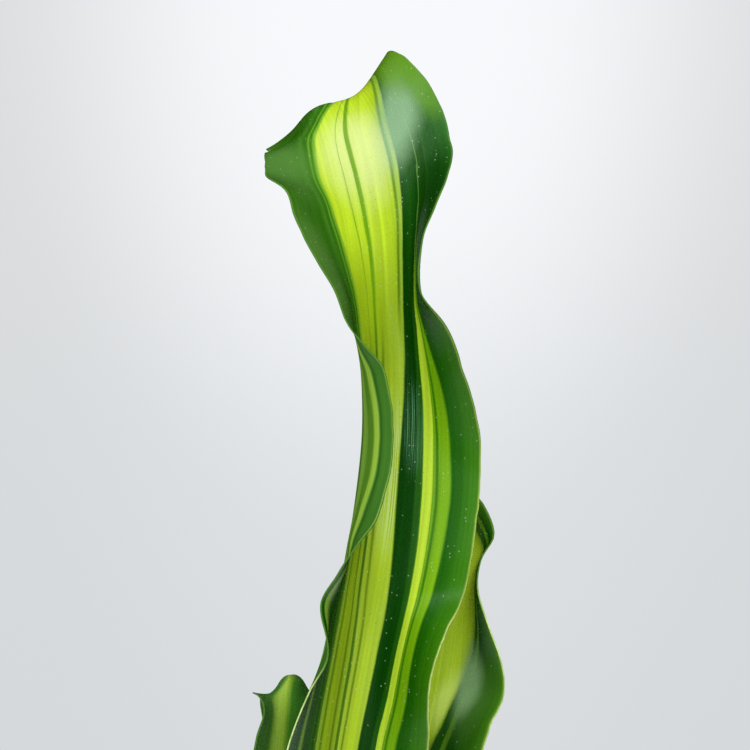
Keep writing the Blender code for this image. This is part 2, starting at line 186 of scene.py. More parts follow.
# The leaf behind it to the right, in the same frame and the same three tables.
RIGHT_MIDLINE = (
    (-18.4, -32.6, -321.5), (-12.1, -27.8, -287.5), (0, -18, -240), (12, -7, -190), (22, 4, -143),
    (28, 14, -112), (31, 24, -94), (33, 36, -83), (34, 50, -79), (33, 64, -86), (28, 78, -108),
    (22, 86, -140), (16, 90, -176))
RIGHT_WIDTHS = (
    (0, 17.8), (35, 19), (85, 22), (137, 28), (190, 33), (240, 35), (285, 31), (315, 22), (345, 15),
    (375, 8), (395, 1))
RIGHT_FOLDS = (
    (0, -40, 10, 52, 94, 136),
    (35, -10, 20, 52, 80, 100),
    (90, 5, 25, 50, 65, 75),
    (190, 10, 25, 43, 50, 46),
    (203, 15, 25, 38, 42, 38),
    (213, 15, 25, 40, 50, 48),
    (223, 10, 25, 43, 66, 64),
    (233, 5, 25, 45, 79, 79),
    (242, 0, 20, 45, 78, 78),
    (251, 5, 20, 42, 70, 62),
    (260, 10, 20, 42, 78, 74),
    (270, 10, 20, 40, 86, 98),
    (292, 10, 20, 35, 60, 70),
    (315, 30, 45, 55, 65, 75),
    (345, 20, 30, 40, 50, 60),
    (395, 0, 10, 20, 30, 40))

# The leaf behind it to the left.
LEFT_MIDLINE = (
    (-34.5, -29.8, -342.5), (-38.7, -23, -308.5), (-40, -15, -262), (-39, -4, -214),
    (-37, 8, -176), (-36, 19, -150), (-36, 31, -135), (-36, 45, -128), (-36, 60, -133),
    (-36, 74, -154), (-36, 82, -190), (-36, 84, -230))
LEFT_WIDTHS = (
    (0, 19), (35, 19), (84, 23), (135, 27), (177, 27), (200, 24), (212, 18.5), (222, 14.5), (241, 16),
    (258, 15), (285, 12), (320, 6), (350, 1))
LEFT_FOLDS = (
    (0, -121, -77, -32, 13, 57),
    (35, -90, -60, -32, -5, 25),
    (90, -70, -52, -32, -12, 5),
    (177, -70, -64, -35, -12, 0),
    (195, -76, -68, -36, -10, 0),
    (204, -84, -72, -36, -14, -5),
    (212, -50, -58, -28, -22, -22),
    (219, -22, -12, -14, -42, -46),
    (230, -10, 64, 5, -74, -72),
    (241, 0, 64, 5, -74, -72),
    (262, 10, 25, 0, -30, -40),
    (285, 0, 0, 0, 0, 0),
    (350, 0, 0, 0, 0, 0))

# The stripes run from edge to edge in eight bands: green up to the pale line near the left edge,
# green up to the yellow, yellow up to the midrib, yellow beyond it, dark green, yellow, light green
# and the green of the right edge.
# Along the leaf, then where each band gives way to the next, as a share of the half width.
BANDS = 8
TALL_STRIPES = (
    (0, -0.62, -0.3, 0, 0.25, 0.42, 0.49, 0.62),
    (150, -0.56, -0.25, 0.02, 0.256, 0.435, 0.497, 0.64),
    (168, -0.55, -0.24, 0.022, 0.268, 0.466, 0.53, 0.69),
    (182, -0.7, -0.235, 0.02, 0.275, 0.476, 0.54, 0.685),
    (196, -0.92, -0.222, 0.003, 0.279, 0.482, 0.545, 0.68),
    (212, -0.88, -0.24, -0.035, 0.27, 0.482, 0.55, 0.695),
    (228, -0.64, -0.25, -0.05, 0.253, 0.484, 0.56, 0.718),
    (250, -0.77, -0.25, -0.05, 0.236, 0.468, 0.555, 0.73),
    (270, -0.8, -0.25, -0.045, 0.239, 0.46, 0.548, 0.706),
    (290, -0.75, -0.25, -0.04, 0.27, 0.448, 0.524, 0.66),
    (303, -0.7, -0.258, -0.02, 0.285, 0.436, 0.507, 0.58),
    (315, -0.7, -0.264, -0.002, 0.297, 0.456, 0.508, 0.54),
    (330, -0.7, -0.27, 0.01, 0.32, 0.5, 0.53, 0.57),
    (345, -0.7, -0.325, 0, 0.34, 0.555, 0.575, 0.64),
    (360, -0.72, -0.4, -0.02, 0.37, 0.58, 0.592, 0.69),
    (380, -0.72, -0.416, -0.04, 0.4, 0.6, 0.602, 0.7),
    (400, -0.72, -0.397, -0.048, 0.42, 0.61, 0.612, 0.71),
    (412, -0.7, -0.345, -0.02, 0.455, 0.63, 0.632, 0.73),
    (424, -0.6, -0.195, 0.055, 0.53, 0.68, 0.682, 0.77),
    (440, -0.45, 0.016, 0.167, 0.62, 0.74, 0.742, 0.82),
    (475, -0.5, -0.2, 0.05, 0.45, 0.62, 0.65, 0.75),
    (575, -0.6, -0.3, 0, 0.35, 0.55, 0.65, 0.75))
RIGHT_STRIPES = (
    (0, -0.85, -0.6, -0.3, 0.02, 0.22, 0.3, 0.55),
    (178, -0.85, -0.6, -0.25, 0.06, 0.25, 0.34, 0.55),
    (190, -0.85, -0.6, -0.15, 0.2, 0.34, 0.42, 0.6),
    (200, -0.85, -0.6, -0.1, 0.29, 0.41, 0.5, 0.65),
    (210, -0.85, -0.6, -0.06, 0.41, 0.49, 0.56, 0.68),
    (218, -0.85, -0.6, -0.03, 0.54, 0.61, 0.66, 0.77),
    (226, -0.85, -0.55, 0.03, 0.7, 0.76, 0.79, 0.84),
    (232, -0.85, -0.5, 0.1, 0.86, 0.9, 0.92, 0.94),
    (240, -0.85, -0.5, 0.1, 0.93, 0.95, 0.97, 0.98),
    (256, -0.8, -0.5, 0.1, 0.69, 0.8, 0.85, 0.9),
    (290, -0.75, -0.45, 0, 0.4, 0.6, 0.65, 0.75),
    (395, -0.65, -0.3, 0, 0.3, 0.5, 0.6, 0.75))
LEFT_STRIPES = (
    (0, -0.75, -0.42, -0.16, -0.06, 0.1, 0.2, 0.5),
    (205, -0.75, -0.41, -0.16, -0.08, 0.1, 0.2, 0.5),
    (214, -0.75, -0.42, -0.14, -0.04, 0.14, 0.25, 0.5),
    (221, -0.7, -0.34, -0.1, -0.02, 0.16, 0.3, 0.5),
    (227, -0.6, -0.18, -0.06, 0, 0.2, 0.3, 0.5),
    (233, -0.5, -0.05, -0.02, 0, 0.3, 0.35, 0.5),
    (260, -0.6, -0.3, -0.1, 0, 0.3, 0.4, 0.5),
    (350, -0.6, -0.4, -0.1, 0.2, 0.45, 0.55, 0.7))
ARCH_STRIPES = (-0.62, -0.3, 0, 0.27, 0.46, 0.57, 0.7)
ARCH_STRIPE_SHIFT = 0.05
ARCH_MIRRORED = 0.5

# How far the tall leaf's edges lie outside its form round its head: along, left and right.
TALL_MARGINS = (
    (0, 0, 0), (340, 0, 0), (352, 1, 0), (364, 1.3, 0), (371, 2.3, 0), (378, 0.9, 0),
    (386, -1, 0), (396, -2.1, 0.9), (408, -2.3, 0.9), (416, -1.2, 0.6), (424, -0.4, 0),
    (436, 0.5, -1.4), (444, 1.7, -0.7), (452, 2.7, 0), (460, 3.3, 0), (468, 3.3, 0), (478, 2.8, 0),
    (490, 1.5, 0), (510, 0, 0), (575, 0, 0))

# Each upright leaf: its three tables, its stripes, and its rows and columns of points.
UPRIGHT_LEAVES = {
    "leaf_01": (TALL_MIDLINE, TALL_WIDTHS, TALL_FOLDS, TALL_STRIPES, 330, 121),
    "leaf_04": (RIGHT_MIDLINE, RIGHT_WIDTHS, RIGHT_FOLDS, RIGHT_STRIPES, 200, 61),
    "leaf_06": (LEFT_MIDLINE, LEFT_WIDTHS, LEFT_FOLDS, LEFT_STRIPES, 180, 61)}
ARCH_ROWS = 190
ARCH_COLUMNS = 41
# Seeds of the finishes, of the leaves' edges and of the arching leaves' stripes.
LOOK_SEED = 10.0
UPRIGHT_EDGE_SEED = 100
ARCH_EDGE_SEED = 700
ARCH_STRIPE_SEED = 500

# The length in metres that the leaves' maps count as one.
LEAF_MAP_LENGTH = 0.6
# Steps along a path, steps across a leaf, and where across it the tables of folds count.
PATH_STEPS = 3000
EDGE_STEPS = np.linspace(-1, 1, 81)
FOLD_PLACES = np.array([-1, -0.5, 0, 0.5, 1])


def smooth(table, places):
    """Smooth curve through the rows of a table; the first column is the place along it."""
    table = np.asarray(table, float)
    keys, values = table[:, 0], table[:, 1:]
    rows = np.arange(len(keys))
    before, after = np.maximum(rows - 1, 0), np.minimum(rows + 1, rows[-1])
    slopes = (values[after] - values[before]) / (keys[after] - keys[before])[:, None]
    places = np.clip(places, keys[0], keys[-1])
    low = np.clip(np.searchsorted(keys, places, side="right") - 1, 0, len(keys) - 2)
    span = (keys[low + 1] - keys[low])[:, None]
    u = (places - keys[low])[:, None] / span
    start = (2 * u**3 - 3 * u**2 + 1) * values[low] + (u**3 - 2 * u**2 + u) * span * slopes[low]
    end = (3 * u**2 - 2 * u**3) * values[low + 1] + (u**3 - u**2) * span * slopes[low + 1]
    return start + end


def running_total(values, step):
    """What the values add up to at each place, from nothing at the first."""
    return np.append(0, np.cumsum((values[1:] + values[:-1]) / 2 * step))


def distances(points):
    """How far along a line of points each one lies."""
    return np.append(0, np.cumsum(np.linalg.norm(np.diff(points, axis=0), axis=1)))


def even_path(points, count):
    """Even steps along a smooth curve through the points: the distances, and the places."""
    points = np.asarray(points, float)
    chord = distances(points)
    fine = smooth(np.column_stack([chord, points]), np.linspace(0, chord[-1], PATH_STEPS))
    length = distances(fine)
    along = np.linspace(0, length[-1], count)
    return along, np.column_stack([np.interp(along, length, fine[:, k]) for k in range(3)])


def blade(path, half_widths, folds, side, columns):
    """Rows of points across a leaf, folded about its midline by the angles in each row."""
    tangent = np.gradient(path, axis=0)
    tangent /= np.linalg.norm(tangent, axis=1)[:, None]
    across = side - (tangent @ side)[:, None] * tangent
    across /= np.linalg.norm(across, axis=1)[:, None]
    front = np.cross(across, tangent)
    places = np.linspace(-1, 1, columns)
    step = EDGE_STEPS[1] - EDGE_STEPS[0]
    middle = len(EDGE_STEPS) // 2
    rows = []
    for row, centre in enumerate(path):
        turn = np.radians(smooth(np.column_stack([FOLD_PLACES, folds[row]]), EDGE_STEPS)[:, 0])
        reach = []
        for part in (np.cos(turn), np.sin(turn)):
            total = running_total(part, step)
            reach.append(np.interp(places, EDGE_STEPS, total - total[middle]) * half_widths[row])
        rows.append(centre + reach[0][:, None] * across[row] + reach[1][:, None] * front[row])
    return np.array(rows)


def upright_leaf(midline, widths, folds, rows, columns):
    """One of the three leaves that stand up: distances along it, and its points."""
    along, path = even_path(midline, rows)
    grid = blade(path, smooth(widths, along)[:, 0], smooth(folds, along),
                 np.array([1.0, 0.0, 0.0]), columns)
    return along, grid * MM + np.array(VIEW_CENTRE)


def arching_leaf(leaf, rows, columns):
    """A leaf that clasps the shoot, rises and arches over, with waves along both edges."""
    share = np.linspace(0, 1, rows)
    along = share * leaf["length"]
    step = along[1] - along[0]
    young, old = smooth(ARCH_LEANS, share).T
    lean = np.radians(young + (old - young) * leaf["age"])
    out = SHEATH_RADIUS + running_total(np.sin(lean), step)
    up = running_total(np.cos(lean), step)
    away = np.array([math.cos(leaf["azimuth"]), math.sin(leaf["azimuth"]), 0.0])
    side = np.array([away[1], -away[0], 0.0])
    sway = leaf["sway"] * share**2
    path = (np.array([AXIS_X, AXIS_Y, leaf["height"]]) + out[:, None] * away
            + sway[:, None] * side + up[:, None] * np.array([0.0, 0.0, 1.0]))
    half = smooth(ARCH_OUTLINE, share)[:, 0] * leaf["half_width"]
    hollow = np.maximum(np.degrees(half / out), leaf["channel"])
    folds = np.outer(hollow, FOLD_PLACES) + (leaf["twist"] * share**TWIST_POWER)[:, None]
    fade = (np.clip((share - RUFFLE_START) / RUFFLE_RISE, 0, 1)
            * np.clip((1 - share) / RUFFLE_FADE, 0, 1))
    for edge, inner, phase in ((0, 1, leaf["left_phase"]), (4, 3, leaf["right_phase"])):
        wave = np.sin(2 * math.pi * along / leaf["wave"] + phase) * fade * leaf["ruffle"]
        folds[:, edge] += wave
        folds[:, inner] += RUFFLE_INNER * wave
    return along, blade(path, half, folds, side, columns)


def arching_leaves():
    """The other leaves, from the youngest down: each a turn round the shoot and a step lower."""
    draw = random.Random(ARCH_SEED)
    leaves = []
    for number in range(1, CROWN_LEAVES):
        leaf = {key: draw.uniform(*limits) for key, limits in ARCH_DRAWS.items()}
        turn = number * LEAF_TURN + LEAF_NUDGES.get(number, 0)
        leaf["azimuth"] = math.pi / 2 + turn + math.radians(leaf["turn"])
        leaf["name"] = f"leaf_{number + 1:02d}"
        leaf["age"] = number / CROWN_LEAVES
        leaf["height"] = TOP_LEAF_HEIGHT - number * LEAF_SPACING
        if leaf["name"] not in UPRIGHT_LEAVES:
            leaves.append(leaf)
    return leaves


def wander(places, spacing, seed):
    """A smooth line that wanders between -1 and 1, with a new turn every spacing."""
    draw = random.Random(seed)
    count = int(places[-1] / spacing) + 3
    knots = [(number * spacing, draw.uniform(-1, 1)) for number in range(count)]
    return smooth(knots, places)[:, 0]


def unit(vectors):
    """Vectors of length one."""
    return vectors / np.maximum(np.linalg.norm(vectors, axis=-1, keepdims=True), 1e-12)


# The midrib's groove, the waves near the edges and the edges' small and large unevenness.
MIDRIB_DEPTH = 0.35 * MM
MIDRIB_REACH = 0.9 * MM
MARGIN_WAVE = 0.25 * MM
MARGIN_WAVE_SPACING = 9 * MM
MARGIN_NIBBLE = 0.2 * MM
SMALL_NIBBLES = 3.5 * MM
LARGE_NIBBLES = 14 * MM


def finish_blade(grid, along, seed, margins):
    """The midrib's groove, the small waves near both edges and the edges' own unevenness."""
    places = np.linspace(-1, 1, grid.shape[1])
    normal = unit(np.cross(np.gradient(grid, axis=1), np.gradient(grid, axis=0)))
    outward = unit(np.gradient(grid, axis=1)) * np.sign(places)[None, :, None]
    width = np.linalg.norm(np.diff(grid, axis=1), axis=2).sum(axis=1) / 2
    width_fade = np.clip(width / width.max(), 0, 1)
    reach = places[None, :] * width[:, None]
    height = -MIDRIB_DEPTH * np.exp(-(reach / MIDRIB_REACH) ** 2) * width_fade[:, None]
    stretch = np.zeros_like(height)
    for side, shift in ((-1, 0), (1, 50)):
        edge = np.clip(places * side, 0, 1)[None, :]
        wave = wander(along, MARGIN_WAVE_SPACING, seed + shift) * MARGIN_WAVE
        nibble = wander(along, SMALL_NIBBLES, seed + shift + 1) * MARGIN_NIBBLE
        nibble = nibble + wander(along, LARGE_NIBBLES, seed + shift + 2) * 2 * MARGIN_NIBBLE
        nibble = nibble + margins[:, (side + 1) // 2]
        height = height + (wave * width_fade)[:, None] * edge**5
        stretch = stretch + (nibble * width_fade)[:, None] * edge**6
    return grid + height[..., None] * normal + stretch[..., None] * outward


def smooth_noise(points, size, seed):
    """Random heights, about -1 to 1, at points: its largest bumps have the given size."""
    shift = Vector((seed, 2.0 * seed, 3.0 * seed))
    flat = points.reshape(-1, 3) / size
    heights = [noise.fractal(Vector(point) + shift, 1.0, 2.0, 3) for point in flat]
    return np.array(heights).reshape(points.shape[:-1])


def stripe_places(rows, columns):
    """Where each point across the leaf lies among the bands, from 0 at one edge to 1 at the other."""
    places = np.linspace(-1, 1, columns)
    bands = np.arange(BANDS + 1) / BANDS
    return np.array([np.interp(places, [-1, *row, 1], bands) for row in rows])


def add_map(mesh, name, values):
    """A UV map that holds two coordinates for each point."""
    corners = np.empty(len(mesh.loops), dtype=np.int32)
    mesh.loops.foreach_get("vertex_index", corners)
    layer = mesh.uv_layers.new(name=name)
    layer.data.foreach_set("uv", values[corners].astype(np.float32).ravel())


def grid_mesh(name, grid, maps):
    """A mesh of quads through rows of points, with a UV map for each named pair of coordinates."""
    rows, columns, _ = grid.shape
    mesh = bpy.data.meshes.new(name)
    first = (np.arange(rows - 1)[:, None] * columns + np.arange(columns - 1)[None, :]).ravel()
    faces = np.column_stack([first, first + 1, first + columns + 1, first + columns])
    mesh.from_pydata(grid.reshape(-1, 3).tolist(), [], faces.tolist())
    for label, pair in maps.items():
        add_map(mesh, label, np.stack(pair, axis=-1).reshape(-1, 2))
    mesh.shade_smooth()
    return mesh


def shape_mesh(name, shape):
    """A mesh of what has been shaped."""
    mesh = bpy.data.meshes.new(name)
    shape.to_mesh(mesh)
    shape.free()
    return mesh


def add_object(data):
    """An object in the scene, with the name of its mesh, lamp or camera."""
    item = bpy.data.objects.new(data.name, data)
    bpy.context.scene.collection.objects.link(item)
    return item


def rounded(profile, radius, steps=6):
    """A profile of (radius, height) points with its corners rounded off."""
    profile = np.array(profile, float)
    points = [profile[0]]
    for before, corner, after in zip(profile, profile[1:], profile[2:]):
        back, onward = before - corner, after - corner
        reach = min(radius, np.linalg.norm(back) / 2, np.linalg.norm(onward) / 2)
        start, end = corner + unit(back) * reach, corner + unit(onward) * reach
        for u in np.linspace(0, 1, steps):
            points.append((1 - u) ** 2 * start + 2 * u * (1 - u) * corner + u**2 * end)
    return points + [profile[-1]]


def spaced(profile, step):
    """The profile with points added so that none are further apart than the step."""
    profile = np.array(profile, float)
    points = [profile[0]]
    for start, way in zip(profile, np.diff(profile, axis=0)):
        count = max(1, math.ceil(np.linalg.norm(way) / step))
        points += [start + way * (number + 1) / count for number in range(count)]
    return points


def turned(profile, steps):
    """Rings of points: each (radius, height) of a profile carried round the upright axis."""
    radius, height = np.array(profile, float).T[:, :, None]
    turn = np.arange(steps) * 2 * math.pi / steps
    return np.stack([radius * np.cos(turn), radius * np.sin(turn), height + 0 * turn], axis=-1)


def ring_mesh(name, rings, along=None):
    """A closed mesh over rings of points, its top or inside first, with a map of distances along."""
    count, steps, _ = rings.shape
    mesh = bpy.data.meshes.new(name)
    points = np.concatenate([rings.reshape(-1, 3), [rings[0].mean(axis=0), rings[-1].mean(axis=0)]])
    row = np.arange(count - 1)[:, None] * steps
    here = np.arange(steps)[None, :]
    ahead = (here + 1) % steps
    sides = np.stack([row + here, row + steps + here, row + steps + ahead, row + ahead], axis=-1)
    top = [(count * steps, j, (j + 1) % steps) for j in range(steps)]
    last = (count - 1) * steps
    foot = [(count * steps + 1, last + (j + 1) % steps, last + j) for j in range(steps)]
    mesh.from_pydata(points.tolist(), [], sides.reshape(-1, 4).tolist() + top + foot)
    if along is not None:
        values = np.append(np.repeat(along, steps), [along[0], along[-1]])
        add_map(mesh, "along", np.column_stack([0 * values, values]))
    mesh.shade_smooth()
    return mesh


def bar(name, radius, length, place, turn):
    """A round bar to cut a hole with."""
    shape = bmesh.new()
    bmesh.ops.create_cone(shape, cap_ends=True, segments=64, radius1=radius, radius2=radius,
                          depth=length)
    item = add_object(shape_mesh(name, shape))
    item.location = place
    item.rotation_euler = turn
    return item


def carve(item, cutters):
    """Cut the bars out of a piece, for good, and remove them."""
    for cutter in cutters:
        boolean = item.modifiers.new(cutter.name, "BOOLEAN")
        boolean.operation = "DIFFERENCE"
        boolean.solver = "EXACT"
        boolean.object = cutter
    bpy.context.view_layer.update()
    whole = item.data
    cut = item.evaluated_get(bpy.context.evaluated_depsgraph_get())
    item.data = bpy.data.meshes.new_from_object(cut)
    item.modifiers.clear()
    bpy.data.meshes.remove(whole)
    for cutter in cutters:
        bpy.data.objects.remove(cutter, do_unlink=True)


def stand_for(item, slot, *nodes):
    """Let a piece ride on the plant and stand for its nodes. Its slot is not used."""
    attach(item, "root")
    if nodes:
        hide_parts(*nodes)


def leaf_piece(node, grid, along, stripes, seed, materials):
    """One leaf: its upper face, its underside and its thin pale edge are three materials."""
    margins = np.zeros((len(along), 2))
    if node == "leaf_01":
        margins = smooth(TALL_MARGINS, along / MM) * MM
    grid = finish_blade(grid, along, seed, margins)
    across, up = np.meshgrid(np.linspace(0, 1, grid.shape[1]), along / LEAF_MAP_LENGTH)
    mesh = grid_mesh(node + "_blade", grid, {"stripes": (stripes, up), "veins": (across, up)})
    for material in materials:
        mesh.materials.append(material)
    leaf = add_object(mesh)
    solid = leaf.modifiers.new("Thickness", "SOLIDIFY")
    solid.thickness = BLADE_THICKNESS
    solid.offset = 0
    solid.material_offset = 1
    solid.material_offset_rim = 2
    leaf.visible_glossy = False
    stand_for(leaf, "leaf", node)


def colour(red, green, blue):
    """A linear colour from the 0 to 255 values that a screen shows."""
    values = [red / 255, green / 255, blue / 255]
    return (*[v / 12.92 if v <= 0.04045 else ((v + 0.055) / 1.055) ** 2.4 for v in values], 1)


# How many colours one ramp node holds.
RAMP_STOPS = 32
# What counts as a low and as a high value of a noise.
NOISE_LOW, NOISE_HIGH = 0.3, 0.7


class Graph:
    """Shader nodes, added one at a time with their inputs."""

    def __init__(self, tree):
        self.tree = tree

    def add(self, kind, inputs=(), **settings):
        """A node with its settings and inputs."""
        node = self.tree.nodes.new("ShaderNode" + kind)
        for key, value in settings.items():
            setattr(node, key, value)
        for key, value in dict(inputs).items():
            self.put(node.inputs[key], value)
        return node

    def put(self, socket, value):
        """Link or set one input. Three numbers for a colour are those that a screen shows."""
        if isinstance(value, bpy.types.NodeSocket):
            self.tree.links.new(value, socket)
        elif socket.type == "RGBA" and len(value) == 3:
            socket.default_value = colour(*value)
        else:
            socket.default_value = value

    def math(self, operation, *numbers):
        """A number worked out of up to three others."""
        return self.add("Math", enumerate(numbers), operation=operation).outputs[0]

    def vectors(self, operation, *inputs):
        """A vector worked out of up to three others, or the length of one."""
        node = self.add("VectorMath", enumerate(inputs), operation=operation)
        return node.outputs["Value" if operation == "LENGTH" else "Vector"]

    def span(self, value, low, high, to_low=0.0, to_high=1.0):
        """A value carried smoothly from one range to another, and held at its ends."""
        inputs = {"Value": value, "From Min": low, "From Max": high, "To Min": to_low, "To Max": to_high}
        return self.add("MapRange", inputs, interpolation_type="SMOOTHSTEP").outputs[0]

    def vary(self, noise_value, low=0.0, high=1.0):
        """A number that goes from low to high with a noise."""
        return self.span(noise_value, NOISE_LOW, NOISE_HIGH, low, high)

    def moved(self, value, other, reach):
        """A number moved by another between 0 and 1: by half the reach at most, either way."""
        return self.math("MULTIPLY_ADD", other, reach, self.math("ADD", value, -reach / 2))

    def mix(self, factor, first, second, blend="MIX"):
        """Two colours mixed."""
        node = self.add("Mix", {0: factor, 6: first, 7: second}, data_type="RGBA",
                        blend_type=blend, clamp_factor=True)
        return node.outputs[2]

    def shaded(self, tone, value):
        """A colour made brighter or darker."""
        return self.add("HueSaturation", {"Color": tone, "Value": value}).outputs[0]

    def red(self, tone):
        """How much red a colour has."""
        return self.add("SeparateColor", {0: tone}).outputs[0]

    def split(self, vector):
        """The three numbers of a vector."""
        return self.add("SeparateXYZ", {0: vector}).outputs

    def map(self, name):
        """A UV map's coordinates."""
        return self.add("UVMap", uv_map=name).outputs[0]

    def place(self):
        """Where a point lies on the object, in metres."""
        return self.add("TexCoord").outputs["Object"]

    def noise(self, vector, scale, detail):
        """A noise between 0 and 1."""
        inputs = {"Vector": vector, "Scale": scale, "Detail": detail}
        return self.add("TexNoise", inputs).outputs[0]

    def grain(self, scale, detail=2.0):
        """A noise over the object, with one scale or with one for each direction."""
        if isinstance(scale, tuple):
            return self.noise(self.vectors("MULTIPLY", self.place(), scale), 1.0, detail)
        return self.noise(self.place(), scale, detail)

    def streaks(self, place, scales, seed, detail=2.0):
        """A noise over a UV map, with a scale across it and a scale along it."""
        moved = self.vectors("MULTIPLY_ADD", place, (*scales, 0), (0, 0, seed))
        return self.noise(moved, 1.0, detail)

    def specks(self, spacing, share, radius):
        """A few round specks: 1 on them and 0 elsewhere."""
        node = self.add("TexVoronoi", {"Vector": self.place(), "Scale": 1 / spacing})
        chosen = self.math("GREATER_THAN", self.red(node.outputs["Color"]), 1 - share)
        return self.math("MULTIPLY", chosen, self.span(node.outputs["Distance"], radius, 0.6 * radius))

    def speckled(self, tone, rule, strength, speck):
        """A colour with specks of another, by their rule."""
        return self.mix(self.math("MULTIPLY", self.specks(*rule), strength), tone, speck)

    def ramp(self, value, stops):
        """A colour read from a row of (place, colour) stops, over as many nodes as they need."""
        node = self.add("ValToRGB", {0: value})
        elements = node.color_ramp.elements
        elements.remove(elements[-1])
        elements[0].position = stops[0][0]
        elements[0].color = stops[0][1]
        for position, tone in stops[1:RAMP_STOPS]:
            elements.new(position).color = tone
        if len(stops) <= RAMP_STOPS:
            return node.outputs[0]
        rest = stops[RAMP_STOPS - 1:]
        beyond = self.math("GREATER_THAN", value, rest[0][0])
        return self.mix(beyond, node.outputs[0], self.ramp(value, rest))


class Finish(Graph):
    """A material: its shader, and the nodes that feed it."""

    def __init__(self, name, base, roughness):
        self.material = bpy.data.materials.new(name)
        self.material.use_nodes = True
        self.material.diffuse_color = colour(*base)
        super().__init__(self.material.node_tree)
        self.shader = self.tree.nodes["Principled BSDF"]
        self.set(Base_Color=base, Roughness=roughness)

    def set(self, **inputs):
        """The shader's own inputs, by name with underscores for spaces."""
        for key, value in inputs.items():
            self.put(self.shader.inputs[key.replace("_", " ")], value)

    def done(self, tone, height, strength, distance, **inputs):
        """The material, with its colour, its fine relief and the shader's other inputs."""
        relief = {"Height": height, "Strength": strength, "Distance": distance}
        self.set(Base_Color=tone, Normal=self.add("Bump", relief).outputs[0], **inputs)
        return self.material


# Colours that the stripes share.
YELLOW = (186, 218, 38)
WARM_YELLOW = (174, 204, 30)
OLIVE = (136, 164, 24)
MID_GREEN = (106, 156, 9)
LEAF_GREEN = (46, 100, 12)
DARK_GREEN = (10, 66, 3)
LINE_GREEN = (92, 130, 10)
THIN_LINE = (116, 158, 24)
PALE_LINE = (108, 166, 42)
CREAM = (216, 230, 160)

# Where each colour begins and ends among the bands, as the band's number and share, or the one
# place that it passes through, and the colour.
HEAD_STRIPES = (
    (0, (84, 134, 48)), (0.05, (54, 108, 18)), (0.6, 1.3, LEAF_GREEN), (1.5, (64, 122, 30)),
    (1.62, (50, 108, 14)), (1.71, (54, 112, 14)), (1.76, PALE_LINE), (1.81, (58, 118, 10)),
    (1.86, (60, 120, 10)), (1.9, PALE_LINE), (1.96, (118, 172, 40)), (2.03, 2.62, YELLOW),
    (2.64, 2.66, THIN_LINE), (2.68, 2.9, YELLOW), (2.925, 3.05, MID_GREEN), (3.075, YELLOW),
    (3.33, WARM_YELLOW), (3.355, (160, 188, 20)), (3.38, YELLOW), (3.6, WARM_YELLOW),
    (3.79, (158, 190, 28)), (3.82, 3.865, LINE_GREEN), (3.89, (146, 182, 52)), (3.985, (156, 190, 60)),
    (4.01, DARK_GREEN), (4.5, (22, 80, 8)), (4.97, DARK_GREEN), (5.15, 5.8, (84, 130, 50)),
    # From band 7 on, the right edge's greens carry a little blue as painted sheen.
    (6, (26, 80, 9)), (6.12, 6.93, (22, 74, 6)), (7, (42, 94, 24)), (7.07, (24, 78, 16)),
    (7.5, (26, 84, 18)), (7.94, (34, 94, 22)), (8, (74, 128, 40)))
BODY_STRIPES = (
    (0, (120, 156, 60)), (0.05, (36, 98, 4)), (0.45, (24, 88, 3)), (0.76, (16, 78, 2)),
    (0.88, (80, 118, 30)), (0.96, 1.05, (126, 162, 54)), (1.18, (38, 88, 5)), (1.3, (24, 76, 4)),
    (1.55, (28, 80, 4)), (1.66, (34, 82, 4)), (1.7, (54, 100, 8)), (1.74, 1.86, (34, 82, 4)),
    (1.9, (56, 104, 8)), (1.96, (50, 98, 4)), (2.03, (136, 168, 48)), (2.15, (132, 164, 42)),
    (2.19, 2.25, LINE_GREEN), (2.3, 2.64, OLIVE), (2.68, 2.73, (94, 126, 8)), (2.78, (140, 170, 30)),
    (2.92, (144, 174, 44)), (2.955, 3.05, (70, 112, 6)), (3.09, (164, 192, 56)), (3.2, (160, 188, 44)),
    (3.235, 3.285, (106, 138, 12)), (3.33, (166, 194, 46)), (3.6, (176, 206, 38)),
    (3.95, (170, 202, 48)), (4.01, 4.66, DARK_GREEN), (4.76, (32, 90, 12)), (4.93, (30, 90, 10)),
    (4.985, (60, 118, 16)), (5.03, (186, 218, 50)), (5.97, (190, 222, 54)), (6.04, (92, 146, 12)),
    (6.12, (118, 174, 18)), (6.21, 6.29, (62, 122, 6)), (6.38, (120, 176, 14)), (6.9, (126, 180, 14)),
    (6.98, (90, 150, 14)), (7.04, (26, 94, 3)), (7.35, (38, 106, 6)), (7.65, (57, 124, 9)),
    (7.9, (60, 126, 12)), (7.95, (96, 142, 46)), (7.975, (150, 184, 76)), (8, (176, 202, 92)))
UNDER_STRIPES = (
    (0, (136, 172, 74)), (0.04, (56, 110, 26)), (0.45, (58, 112, 24)), (0.68, (36, 88, 10)),
    (0.77, (84, 136, 36)), (0.84, (136, 176, 56)), (1.03, (134, 172, 46)), (1.08, (72, 118, 14)),
    (1.22, (68, 114, 16)), (1.28, (98, 142, 38)), (1.42, (108, 150, 46)), (1.5, 1.62, (66, 112, 20)),
    (1.68, (104, 144, 44)), (1.95, (108, 146, 46)), (2.03, (128, 160, 54)), (2.35, (88, 130, 34)),
    (2.92, (124, 156, 54)), (2.95, 3.05, (88, 128, 40)), (3.1, 3.97, (146, 172, 66)),
    (4.03, 4.97, (48, 98, 32)), (5.03, 5.97, (150, 178, 70)), (6.05, 6.95, (100, 150, 50)),
    (7.05, (58, 114, 30)), (7.94, (64, 120, 36)), (8, (150, 185, 90)))
